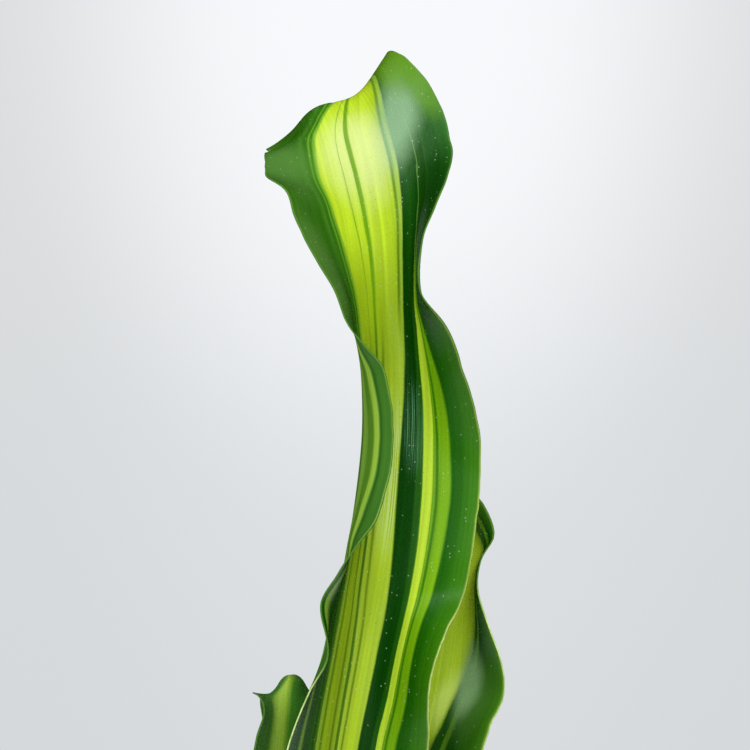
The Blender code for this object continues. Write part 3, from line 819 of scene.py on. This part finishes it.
SOFT_STRIPES = (
    (0, (60, 112, 30)), (1, (52, 104, 18)), (1.8, (72, 124, 22)), (2.2, (160, 192, 34)),
    (3.5, (172, 204, 36)), (3.8, (160, 192, 30)), (4.12, (26, 76, 12)), (4.85, (24, 72, 8)),
    (5.1, (76, 122, 15)), (5.8, (72, 118, 14)), (6.1, (14, 66, 4)), (6.5, DARK_GREEN),
    (7.1, (34, 84, 8)), (7.6, (46, 98, 12)), (7.92, (64, 116, 20)), (8, (120, 160, 60)))
DULL_STRIPES = (
    (0, (120, 160, 84)), (0.15, (76, 128, 56)), (1.75, (76, 128, 50)), (2.1, (144, 184, 64)),
    (2.6, (166, 202, 74)), (3.4, (156, 194, 60)), (3.95, (138, 180, 50)), (4.6, (64, 122, 32)),
    (6, (50, 108, 28)), (7.9, (58, 118, 36)), (8, (120, 160, 84)))

# Patches of painted sheen on two leaves, and some of painted shade, mixed into their colour: place
# along the leaf, as a share of the map's length, and across it, how far the first drifts with the
# second, half the patch's length and half its width, colour, strength, and where on the leaf it shows.
PAINTED_SHEEN_AND_SHADE = {
    "tall": (
        (0.674, 0.77, 0.14, 0.037, 0.22, (130, 168, 126), 0.9, "all"),
        (0.718, 0.93, 0, 0.038, 0.2, (100, 152, 30), 0.8, "all"),
        (0.605, 0.9, 0, 0.045, 0.15, (5, 46, 1), 0.65, "all"),
        (0.656, 0.5, 0, 0.052, 0.24, (206, 218, 142), 0.7, "yellow"),
        (0.685, 0.97, 0, 0.03, 0.1, (90, 142, 28), 0.7, "all"),
        (0.648, 0.11, 0, 0.05, 0.18, (84, 134, 56), 0.8, "all"),
        (0.55, 0.06, 0, 0.05, 0.16, (88, 132, 58), 0.6, "all"),
        (0.345, 0.46, 0, 0.04, 0.24, (130, 158, 16), 0.45, "yellow"),
        (0.55, 0.86, 0, 0.05, 0.08, (92, 112, 96), 0.6, "all"),
        (0.53, 0.45, 0, 0.06, 0.22, (132, 162, 16), 0.6, "yellow"),
        (0.456, 0.68, 0, 0.033, 0.06, (90, 150, 108), 0.9, "streaks"),
        (0.425, 0.585, 0, 0.06, 0.07, (206, 232, 150), 0.8, "sparkle")),
    "right": (
        (0.332, 0.8, 0.06, 0.03, 0.16, (74, 122, 44), 0.6, "all"),
        (0.344, 0.745, 0.06, 0.027, 0.12, (132, 170, 116), 0.8, "all"),
        (0.332, 0.6, 0.06, 0.022, 0.14, (214, 236, 120), 0.5, "yellow"),
        (0.46, 0.8, 0, 0.04, 0.3, (86, 124, 26), 0.5, "all"))}


# Noises over a leaf: their scales across it and along it.
DRIFT_SCALES = (9.0, 14.0)
FRAY_SCALES = (110.0, 26.0)
VEIN_SCALES = (230.0, 9.0)
RIB_SCALES = (62.0, 2.6)
# How far the first two move the stripes, the slant across the leaf of where the head's stripes
# begin, and half the stretch in which they take over.
DRIFT_REACH = 0.010
FRAY_REACH = 0.004
HEAD_SLANT = -0.12
HEAD_BLUR = 0.025

# Specks: their spacing, what share of them shows, and their radius as a share of the spacing.
LEAF_DOTS = (2.4 * MM, 0.3, 0.12)
LEAF_DUST = (2.3 * MM, 0.4, 0.15)
FINE_POT_SPECKS = (3.2 * MM, 0.22, 0.16)
LARGE_POT_SPECKS = (9.0 * MM, 0.16, 0.11)
BARK_SPECKS = (3.0 * MM, 0.25, 0.22)
FIBRE_ENDS = (1.0 * MM, 0.7, 0.3)


def stripe_stops(stripes):
    """The ramp's stops for rows of stripes."""
    return [(place / BANDS, colour(*tone)) for *places, tone in stripes for place in places]


def leaf_colour(graph, lower, upper, head_from, seed):
    """The stripes with their feathered edges and fine veins: colour, veins' height and masks."""
    bands, blade_map = graph.map("stripes"), graph.map("veins")
    across, along, _ = graph.split(bands)
    drift = graph.streaks(bands, DRIFT_SCALES, seed)
    fray = graph.streaks(bands, FRAY_SCALES, seed + 3.0)
    place = graph.moved(graph.moved(across, drift, DRIFT_REACH), fray, FRAY_REACH)
    stripes = graph.ramp(place, stripe_stops(lower))
    if upper:
        head = graph.ramp(place, stripe_stops(upper))
        level = graph.moved(along, across, HEAD_SLANT)
        share = graph.span(level, head_from - HEAD_BLUR, head_from + HEAD_BLUR)
        stripes = graph.mix(share, stripes, head)
    veins = graph.streaks(blade_map, VEIN_SCALES, seed)
    ribs = graph.streaks(blade_map, RIB_SCALES, seed, 1.0)
    shade = graph.math("MULTIPLY", graph.vary(ribs, 0.9, 1.07), graph.vary(veins, 0.95, 1.05))
    masks = {"all": 1.0, "yellow": graph.span(graph.red(stripes), 0.1, 0.35),
             "streaks": graph.span(veins, 0.45, 0.62)}
    masks["sparkle"] = graph.math("MULTIPLY", masks["yellow"], masks["streaks"])
    return graph.shaded(stripes, shade), veins, masks


def paint_sheen_and_shade(graph, tone, masks, patches):
    """A leaf's patches of painted sheen and painted shade, mixed into its colour."""
    across, along, _ = graph.split(graph.map("veins"))
    uneven = graph.grain(120.0, 3.0)
    for up, side, drift, length, width, shade, strength, mask in patches:
        aside = graph.math("ADD", across, -side)
        onward = graph.math("MULTIPLY_ADD", aside, -drift, graph.math("ADD", along, -up))
        away = graph.add("CombineXYZ", {0: graph.math("DIVIDE", onward, length),
                                        1: graph.math("DIVIDE", aside, width)}).outputs[0]
        away = graph.moved(graph.vectors("LENGTH", away), uneven, 0.25)
        amount = graph.math("MULTIPLY", graph.span(away, 1.15, 0.3, 0.0, strength), masks[mask])
        tone = graph.mix(amount, tone, shade)
    return tone


def upper_leaf(name, lower, upper, head_from, seed):
    """The upper face: satin, with dust specks, a few dark dots in the yellow, and painted sheen and
    shade.
    """
    graph = Finish("leaf_upper_" + name, MID_GREEN, 0.3)
    tone, veins, masks = leaf_colour(graph, lower, upper, head_from, seed)
    # Pale patches of painted sheen and dark patches of painted shade go into the colour here.
    tone = paint_sheen_and_shade(graph, tone, masks, PAINTED_SHEEN_AND_SHADE.get(name, ()))
    dots = graph.math("MULTIPLY", graph.specks(*LEAF_DOTS), masks["yellow"])
    tone = graph.mix(graph.math("MULTIPLY", dots, 0.5), tone, (70, 90, 20))
    tone = graph.speckled(tone, LEAF_DUST, 0.42, (206, 222, 196))
    mottle = graph.grain(900.0, 3.0)
    relief = graph.math("MULTIPLY_ADD", mottle, 0.35, veins)
    return graph.done(tone, relief, 0.3, 0.22 * MM, Roughness=graph.vary(mottle, 0.23, 0.33),
                      Specular_IOR_Level=0.3, Specular_Tint=(0.8, 1.0, 0.76, 1))


def under_leaf(name, seed):
    """The underside: stripes that are paler and duller, with no gloss to speak of."""
    graph = Finish("leaf_under_" + name, (96, 138, 62), 0.55)
    tone, veins, _ = leaf_colour(graph, UNDER_STRIPES, None, 0.0, seed)
    mottle = graph.grain(700.0, 3.0)
    relief = graph.math("MULTIPLY_ADD", mottle, 0.3, veins)
    return graph.done(tone, relief, 0.35, 0.25 * MM, Roughness=graph.vary(mottle, 0.46, 0.58),
                      Specular_IOR_Level=0.3, Specular_Tint=(0.85, 1.0, 0.8, 1))


def leaf_edge():
    """The thin line round a blade: cream on its lower part and green towards its tip."""
    graph = Finish("leaf_edge", CREAM, 0.5)
    across, along, _ = graph.split(graph.map("veins"))
    tone = graph.mix(graph.span(graph.grain(260.0), 0.35, 0.7), CREAM, (176, 200, 110))
    level = graph.math("MULTIPLY_ADD", across, -0.1, along)
    tone = graph.mix(graph.span(level, 0.27, 0.30), tone, (74, 122, 36))
    graph.set(Base_Color=tone, Specular_IOR_Level=0.2)
    return graph.material


# The leaves' finishes, three for the upright leaves and three that the others share: the stripes
# of the lower and upper part, and where the upper part begins.
LEAF_LOOKS = (
    ("tall", BODY_STRIPES, HEAD_STRIPES, 0.53), ("right", SOFT_STRIPES, None, 0),
    ("left", DULL_STRIPES, None, 0), ("long", BODY_STRIPES, HEAD_STRIPES, 0.38),
    ("dark", BODY_STRIPES, HEAD_STRIPES, 0.62), ("mid", BODY_STRIPES, HEAD_STRIPES, 0.5))


def make_leaves():
    """All seventeen leaves."""
    edge = leaf_edge()
    finishes = []
    for number, look in enumerate(LEAF_LOOKS):
        seed = LOOK_SEED * number
        finishes.append([upper_leaf(*look, seed), under_leaf(look[0], seed), edge])
    for number, (name, leaf) in enumerate(UPRIGHT_LEAVES.items()):
        *tables, stripes, rows, columns = leaf
        along, grid = upright_leaf(*tables, rows, columns)
        bands = stripe_places(smooth(stripes, along), columns)
        leaf_piece(name, grid, along * MM, bands, UPRIGHT_EDGE_SEED * (number + 1), finishes[number])
    shared = finishes[len(UPRIGHT_LEAVES):]
    for number, leaf in enumerate(arching_leaves()):
        along, grid = arching_leaf(leaf, ARCH_ROWS, ARCH_COLUMNS)
        draw = random.Random(ARCH_STRIPE_SEED + number)
        shifts = [draw.uniform(-ARCH_STRIPE_SHIFT, ARCH_STRIPE_SHIFT) for _ in ARCH_STRIPES]
        bounds = sorted(place + shift for place, shift in zip(ARCH_STRIPES, shifts))
        bands = stripe_places([bounds] * ARCH_ROWS, ARCH_COLUMNS)
        if draw.random() < ARCH_MIRRORED:
            bands = bands[:, ::-1]
        leaf_piece(leaf["name"], grid, along, bands, ARCH_EDGE_SEED + 10 * number,
                   shared[number % len(shared)])


def pot_radius(height):
    """Outer radius of the pot's tapered wall."""
    return POT_FOOT_RADIUS + (POT_RIM_RADIUS - RIM_STEP - POT_FOOT_RADIUS) * height / POT_HEIGHT


def glaze():
    """Satin off-white glaze with fine brown specks, thin and warm along the rim's edges."""
    graph = Finish("pot_glaze", (226, 222, 212), 0.3)
    height = graph.split(graph.place())[2]
    tone = graph.mix(graph.vary(graph.grain(14.0, 3.0)), (229, 225, 215), (222, 217, 206))
    tone = graph.speckled(tone, FINE_POT_SPECKS, 0.7, (142, 112, 80))
    tone = graph.speckled(tone, LARGE_POT_SPECKS, 0.8, (108, 82, 58))
    edge = graph.span(height, POT_HEIGHT - 2.2 * MM, POT_HEIGHT - 0.2 * MM, 0.0, 0.55)
    tone = graph.mix(edge, tone, (170, 136, 98))
    bare = graph.span(height, 3.0 * MM, 1.8 * MM)
    tone = graph.mix(bare, tone, (188, 160, 128))
    dimple = graph.grain(420.0)
    rough = graph.vary(dimple, 0.24, 0.36)
    relief = graph.math("MULTIPLY_ADD", dimple, 0.2, graph.grain((5.0, 5.0, 90.0), 1.0))
    return graph.done(tone, relief, 0.2, 0.4 * MM,
                      Roughness=graph.mix(bare, rough, (0.8, 0.8, 0.8, 1)))


def make_pot():
    """The glazed shell with its rolled rim and its drain holes."""
    rim_foot = POT_HEIGHT - RIM_HEIGHT
    mouth = pot_radius(POT_HEIGHT) - POT_WALL
    profile = [
        (0, POT_FLOOR), (pot_radius(POT_FLOOR) - POT_WALL, POT_FLOOR), (mouth, POT_HEIGHT),
        (POT_RIM_RADIUS, POT_HEIGHT), (POT_RIM_RADIUS, rim_foot), (pot_radius(rim_foot), rim_foot),
        (POT_FOOT_RADIUS, 0), (0, 0)]
    rings = turned(spaced(rounded(profile, POT_ROUND)[1:-1], POT_SPACING), POT_STEPS)
    pot = add_object(ring_mesh("pot_shell", rings))
    drains = []
    for number in range(DRAIN_COUNT):
        turn = 2 * math.pi * (number + 0.5) / DRAIN_COUNT
        place = (DRAIN_RING * math.cos(turn), DRAIN_RING * math.sin(turn), 0)
        drains.append(bar(f"drain_{number + 1}", DRAIN_RADIUS, 4 * POT_FLOOR, place, (0, 0, 0)))
    carve(pot, drains)
    pot.data.set_sharp_from_angle(angle=math.radians(50))
    pot.data.materials.append(glaze())
    stand_for(pot, "pot", "pot")


def soil_level(x, y):
    """Height of the soil's middle surface, which slopes down from the cane to the pot."""
    radius = np.hypot(x, y)
    return np.interp(radius, (CANE_RADIUS, pot_radius(SOIL_TOP) - POT_WALL),
                     (SOIL_TOP + SOIL_CROWN, SOIL_TOP))


def earth(name, dark, pale, roughness):
    """Crumbly dry stuff: two colours in patches and grains, with grainy relief."""
    graph = Finish(name, dark, roughness)
    tone = graph.mix(graph.span(graph.grain(60.0, 3.0), 0.35, 0.65), dark, pale)
    grain = graph.grain(1100.0, 4.0)
    return graph.done(graph.shaded(tone, graph.vary(grain, 0.6, 1.35)), grain, 0.6, 0.8 * MM)


# What lies loose on the soil: how many, their sizes, flatness, bumps and fineness, and their
# finish: its name, its two colours and its roughness.
LOOSE = {
    "soil_crumbs": (420, (0.9 * MM, 2.4 * MM), 0.75, 0.5, 1,
                    ("soil_crumb", (50, 37, 28), (78, 59, 44), 0.95)),
    "soil_bark": (70, (3.5 * MM, 8 * MM), 0.32, 0.45, 2,
                  ("soil_bark", (82, 54, 34), (122, 84, 54), 0.8)),
    "soil_perlite": (95, (1.1 * MM, 2.6 * MM), 0.8, 0.4, 2,
                     ("soil_perlite", (206, 204, 198), (226, 224, 220), 0.9))}


def lumps(name, rule, draw):
    """Small closed lumps scattered on the soil."""
    count, sizes, flatness, crag, faces, look = rule
    inner = CANE_RADIUS + 3 * MM
    outer = pot_radius(SOIL_TOP) - POT_WALL - 4 * MM
    shape = bmesh.new()
    for number in range(count):
        size = draw.uniform(*sizes)
        radius = math.sqrt(draw.uniform((inner + size) ** 2, (outer - size) ** 2))
        turn = draw.uniform(0, 2 * math.pi)
        x, y = radius * math.cos(turn), radius * math.sin(turn)
        lift = draw.uniform(0.0, 0.5) * size * flatness
        spin = Matrix.Rotation(draw.uniform(0, 2 * math.pi), 4, "Z")
        tilt = Matrix.Rotation(draw.uniform(-0.5, 0.5), 4, "X")
        scale = Matrix.Diagonal((size, size * draw.uniform(0.5, 0.9), size * flatness, 1))
        place = Matrix.Translation((x, y, float(soil_level(x, y)) + lift))
        made = bmesh.ops.create_icosphere(shape, subdivisions=faces, radius=1)
        for vertex in made["verts"]:
            bump = noise.noise(vertex.co * 1.7 + Vector((number, 0, 0)))
            vertex.co = place @ spin @ tilt @ scale @ (vertex.co * (1 + crag * bump))
    mesh = shape_mesh(name, shape)
    mesh.shade_smooth()
    mesh.materials.append(earth(*look))
    stand_for(add_object(mesh), "soil")


def make_soil():
    """The potting mix up to the cane and the pot's wall, and what lies loose on it."""
    bottom = POT_FLOOR + GAP
    hole = CANE_RADIUS + GAP
    foot = CANE_FOOT - GAP
    edge = pot_radius(SOIL_TOP) - POT_WALL - GAP
    low = pot_radius(bottom) - POT_WALL - GAP
    inside = [(hole * share, foot) for share in (0.5, 1)] + [(hole, SOIL_TOP + SOIL_CROWN - 4 * MM)]
    top = spaced([(hole, SOIL_TOP + SOIL_CROWN), (edge, SOIL_TOP)], SOIL_GRAIN)
    outside = [(edge, SOIL_TOP - 4 * MM), (low, bottom), (low / 2, bottom)]
    rings = turned(inside + top + outside, SOIL_STEPS)
    surface = rings[len(inside):len(inside) + len(top)]
    surface[..., 2] += SOIL_BUMPS * smooth_noise(surface, SOIL_BUMP_SIZE, 3)
    surface[..., 2] += SOIL_CRUMBS * np.abs(smooth_noise(surface, SOIL_CRUMB_SIZE, 5))
    mesh = ring_mesh("soil_mix", rings)
    mesh.materials.append(earth("soil_dark", (44, 33, 25), (66, 50, 38), 0.95))
    stand_for(add_object(mesh), "soil", "soil")
    draw = random.Random(SOIL_SEED)
    for name, rule in LOOSE.items():
        lumps(name, rule, draw)


def bark():
    """Grey-brown bark with fine lines round it and long cracks."""
    graph = Finish("cane_bark", (142, 122, 94), 0.8)
    patch = graph.grain(45.0, 3.0)
    crack = graph.grain((420.0, 420.0, 60.0), 4.0)
    lines = graph.grain((30.0, 30.0, 620.0), 3.0)
    tone = graph.mix(graph.vary(patch), (158, 138, 108), (120, 100, 74))
    tone = graph.mix(graph.span(lines, 0.5, 0.75, 0.0, 0.5), tone, (92, 72, 50))
    tone = graph.mix(graph.span(crack, 0.5, 0.36), tone, (74, 56, 40))
    tone = graph.speckled(tone, BARK_SPECKS, 0.6, (186, 168, 138))
    relief = graph.math("MULTIPLY_ADD", lines, 0.4, crack)
    return graph.done(tone, relief, 0.7, 0.9 * MM, Roughness=graph.vary(patch, 0.72, 0.9))


def cut_wood():
    """The sawn top: pale pith full of fine fibre ends, brown near the bark."""
    graph = Finish("cane_cut", (196, 172, 130), 0.75)
    away = graph.vectors("LENGTH", graph.vectors("MULTIPLY", graph.place(), (1, 1, 0)))
    tone = graph.mix(graph.vary(graph.grain(90.0, 3.0)), (204, 180, 138), (180, 152, 110))
    tone = graph.speckled(tone, FIBRE_ENDS, 0.6, (138, 104, 66))
    rim = graph.span(away, CANE_RADIUS - 4 * MM, CANE_RADIUS - 1 * MM)
    tone = graph.mix(rim, tone, (104, 80, 54))
    return graph.done(tone, graph.grain((60.0, 900.0, 60.0)), 0.5, 0.5 * MM)


def bark_relief(points):
    """How far the bark stands out: rings where leaves sat, lesser lines between them, cracks."""
    turn = np.arctan2(points[..., 1], points[..., 0])
    height = points[..., 2]
    relief = BARK_BUMPS * smooth_noise(points, BARK_BUMP_SIZE, 7)
    slim = points * np.array([1, 1, 0.16])
    relief -= BARK_CRACKS * np.abs(smooth_noise(slim, BARK_CRACK_SIZE, 9))
    draw = random.Random(BARK_SEED)
    level = CANE_TOP - RING_SPACING
    while level > SOIL_TOP:
        wobble = 0.9 * MM * np.sin(turn + draw.uniform(0, 2 * math.pi))
        wobble = wobble + 0.4 * MM * np.sin(3 * turn + draw.uniform(0, 2 * math.pi))
        relief += np.interp(height - level - wobble, RING_SHAPE[0], RING_SHAPE[1])
        for _ in range(RING_LINES):
            line = level + draw.uniform(0.18, 0.85) * RING_SPACING
            relief += np.interp(height - line - wobble, LINE_SHAPE[0], LINE_SHAPE[1])
        level -= RING_SPACING
    return relief


def make_cane():
    """The woody cane: bark, sawn top, and the swollen collar that the shoot grows out of."""
    ground = SOIL_TOP - 2 * MM
    corner = rounded([(0, CANE_TOP), (CANE_RADIUS, CANE_TOP), (CANE_RADIUS, ground)], CANE_ROUND)
    profile = spaced(corner[1:], BARK_GRAIN)
    profile[0] = (CANE_RADIUS / 8, CANE_TOP)
    profile += [(CANE_RADIUS, (ground + CANE_FOOT) / 2), (CANE_RADIUS, CANE_FOOT), (1 * MM, CANE_FOOT)]
    rings = turned(profile, BARK_STEPS)
    side = (rings[:, 0, 2] > ground) & (rings[:, 0, 2] < CANE_TOP - CANE_ROUND / 2)
    outward = unit(rings[side] * np.array([1, 1, 0]))
    relief = np.minimum(bark_relief(rings[side]), RING_HEIGHT)
    fade = np.clip((rings[side][..., 2] - ground) / (4 * MM), 0, 1)
    rings[side] += (relief * fade)[..., None] * outward
    offset = np.hypot(rings @ SHOOT_ACROSS, rings[..., 2] - SOCKET_HEIGHT)
    swell = np.clip((COLLAR_REACH - offset) / (COLLAR_REACH - SHOOT_RADIUS), 0, 1)
    swell = swell**2 * (3 - 2 * swell) * (rings @ SHOOT_OUT > 0)
    rings += (COLLAR_SWELL * swell)[..., None] * SHOOT_OUT
    cane = add_object(ring_mesh("cane_wood", rings))
    place = (2 * CANE_RADIUS - SOCKET_DEPTH) * SHOOT_OUT + (0, 0, SOCKET_HEIGHT)
    socket = bar("socket", SHOOT_RADIUS + GAP, 2 * CANE_RADIUS, place, (0, math.pi / 2, SHOOT_SIDE))
    carve(cane, [socket])
    cane.data.materials.append(bark())
    cane.data.materials.append(cut_wood())
    for face in cane.data.polygons:
        face.material_index = int(face.center.z > CANE_TOP - 0.3 * MM)
    stand_for(cane, "cane", "cane")


def stem_skin():
    """The shoot's skin: green above, tanned below, a dry line and a shadow at each leaf scar."""
    graph = Finish("shoot_skin", (128, 140, 74), 0.5)
    along = graph.split(graph.map("along"))[1]
    fibre = graph.grain((900.0, 900.0, 90.0), 3.0)
    age = graph.span(graph.math("MULTIPLY_ADD", graph.grain(130.0, 3.0), 0.05, along), 0.03, 0.15)
    tone = graph.mix(age, (146, 122, 82), (122, 146, 66))
    step = graph.math("FRACT", graph.math("DIVIDE", along, SCAR_SPACING))
    tone = graph.mix(graph.span(step, 0.80, 0.93, 0.0, 0.8), tone, (176, 152, 108))
    tone = graph.mix(graph.span(step, 0.12, 0.0, 0.0, 0.6), tone, (84, 72, 40))
    tone = graph.shaded(tone, graph.vary(fibre, 0.85, 1.12))
    return graph.done(tone, fibre, 0.5, 0.5 * MM, Roughness=graph.vary(fibre, 0.42, 0.6))


def make_shoot():
    """The green shoot: out of its socket, round a bend and up through the crown to a blunt tip."""
    bend = SHOOT_REACH - CANE_RADIUS
    tip = TOP_LEAF_HEIGHT + SHOOT_TIP_RISE
    route = [(CANE_RADIUS - SOCKET_DEPTH + GAP, SOCKET_HEIGHT), (CANE_RADIUS, SOCKET_HEIGHT)]
    for turn in np.linspace(0, math.pi / 2, SHOOT_BEND_STEPS)[1:]:
        route.append((CANE_RADIUS + bend * math.sin(turn), SOCKET_HEIGHT + bend * (1 - math.cos(turn))))
    route.append((SHOOT_REACH, tip))
    path = np.array(spaced(route, SHOOT_GRAIN))
    along = distances(path)
    forward = unit(np.gradient(path, axis=0))
    step = (along / SCAR_SPACING) % 1
    radius = SHOOT_RADIUS - SCAR_DEPTH * (1 - step)
    left = along[-1] - along
    radius = np.where(left < SHOOT_TAPER,
                      SHOOT_TIP_RADIUS + (radius - SHOOT_TIP_RADIUS) * left / SHOOT_TAPER, radius)
    dome = np.clip(1 - left / SHOOT_DOME, 0, 1)
    radius = radius * np.sqrt(np.maximum(1 - dome**2, 0.01))
    turn = np.arange(SHOOT_STEPS) * 2 * math.pi / SHOOT_STEPS
    up = np.array([0, 0, 1])
    centre = path[:, :1] * SHOOT_OUT + path[:, 1:] * up
    lift = forward[:, :1] * up - forward[:, 1:] * SHOOT_OUT
    rings = (centre[:, None] + (radius[:, None] * np.cos(turn))[..., None] * SHOOT_ACROSS
             + (radius[:, None] * np.sin(turn))[..., None] * lift[:, None])
    mesh = ring_mesh("shoot_stem", rings[::-1], along[::-1])
    mesh.materials.append(stem_skin())
    stand_for(add_object(mesh), "shoot", "shoot")


def make_camera():
    """The photo's view: level, straight at the tall leaf."""
    data = bpy.data.cameras.new("camera")
    data.lens = 85
    data.sensor_width = 36
    data.clip_start = 0.01
    camera = add_object(data)
    x, y, z = VIEW_CENTRE
    camera.location = (x, y - CAMERA_DISTANCE, z)
    camera.rotation_euler = (math.pi / 2, 0, 0)
    bpy.context.scene.camera = camera


# Direction of the brightest part of the backdrop, and the backdrop's own greys.
GLOW_CENTRE = (0.01, 0.98, 0.20)
WALL_LOW = (213, 217, 219)
WALL_HIGH = (220, 221, 223)
# Light that is added to them round it: how its distance is stretched, where it is full and where
# it ends, and how much it adds.
GLOWS = (
    ((4.0, 1.0, 1.6), 0.1, 1.0, (0.075, 0.08, 0.085, 1)),
    ((4.6, 1.0, 3.6), 0.3, 1.12, (0.15, 0.145, 0.15, 1)))
# The light from all round, from below and from above, and its strength.
LIGHT_LOW = (0.82, 0.83, 0.82, 1)
LIGHT_HIGH = (1.08, 1.08, 1.08, 1)
WORLD_LIGHT = 0.62

# Each lamp, seen from the crown: azimuth (0 is the camera's side, then to the right), elevation,
# distance, size, power, and whether it is there for gloss.
LAMPS = {
    "front": (0, 8, 1.6, 0.9, 11.5, False),
    "left": (-75, 10, 1.6, 0.9, 8.5, False),
    "key": (35, 50, 1.6, 0.9, 9.2, False),
    "window": (-60, 50, 1.5, 0.5, 1.6, True),
    "skylight": (-33, 72, 1.5, 0.5, 1.5, True),
    "ceiling": (-86, 78, 1.5, 0.5, 1.2, True),
    "low": (-9, -2, 1.5, 0.5, 0.35, True)}


def make_light(name, rule):
    """A soft square lamp that looks at the crown, for soft light alone or for gloss alone."""
    azimuth, elevation, distance, size, power, gloss = rule
    data = bpy.data.lights.new(name, "AREA")
    data.size = size
    data.energy = power
    lamp = add_object(data)
    turn, rise = math.radians(azimuth), math.radians(elevation)
    way = Vector((math.sin(turn) * math.cos(rise), -math.cos(turn) * math.cos(rise), math.sin(rise)))
    lamp.location = Vector(VIEW_CENTRE) + distance * way
    lamp.rotation_euler = way.to_track_quat("Z", "Y").to_euler()
    lamp.visible_camera = False
    lamp.visible_glossy = gloss
    lamp.visible_diffuse = not gloss


def make_world():
    """A pale backdrop, brightest behind the tall leaf, and soft light from all round."""
    world = bpy.data.worlds.new("studio")
    bpy.context.scene.world = world
    world.use_nodes = True
    world.node_tree.nodes.clear()
    graph = Graph(world.node_tree)
    direction = graph.add("TexCoord").outputs["Generated"]
    rise = graph.split(direction)[2]
    backdrop = graph.mix(graph.span(rise, -0.24, 0.24), WALL_LOW, WALL_HIGH)
    for stretch, near, far, light in GLOWS:
        away = graph.vectors("SUBTRACT", direction, GLOW_CENTRE)
        away = graph.vectors("LENGTH", graph.vectors("MULTIPLY", away, stretch))
        glow = graph.mix(graph.span(away, far, near), (0, 0, 0), light)
        backdrop = graph.mix(1.0, backdrop, glow, "ADD")
    around = graph.mix(graph.span(rise, -0.8, 0.8), LIGHT_LOW, LIGHT_HIGH)
    seen = graph.add("Background", {"Color": backdrop, "Strength": 1.0})
    light = graph.add("Background", {"Color": around, "Strength": WORLD_LIGHT})
    camera_ray = graph.add("LightPath").outputs["Is Camera Ray"]
    both = graph.add("MixShader", {0: camera_ray, 1: light.outputs[0], 2: seen.outputs[0]})
    graph.add("OutputWorld", {0: both.outputs[0]})
    world.cycles_visibility.glossy = False


FLOOR_RADIUS = 3.2
FLOOR_FADE = 1.6
FLOOR_GREY = (216, 218, 219)


def make_floor():
    """A plain pale floor that fades into the backdrop towards its rim."""
    shape = bmesh.new()
    bmesh.ops.create_circle(shape, cap_ends=True, segments=96, radius=FLOOR_RADIUS)
    mesh = shape_mesh("floor", shape)
    floor = add_object(mesh)
    floor.location.z = -0.5 * MM
    graph = Finish("floor", FLOOR_GREY, 0.85)
    shade = graph.vary(graph.grain(600.0), 0.985, 1.015)
    away = graph.vectors("LENGTH", graph.place())
    graph.set(Base_Color=graph.shaded(FLOOR_GREY, shade), Specular_IOR_Level=0.1,
              Alpha=graph.span(away, FLOOR_RADIUS - 0.1, FLOOR_RADIUS - FLOOR_FADE))
    mesh.materials.append(graph.material)


make_camera()
make_world()
for lamp_name, lamp_rule in LAMPS.items():
    make_light(lamp_name, lamp_rule)
make_floor()
make_pot()
make_soil()
make_cane()
make_shoot()
make_leaves()
bpy.context.scene.view_settings.view_transform = "Standard"
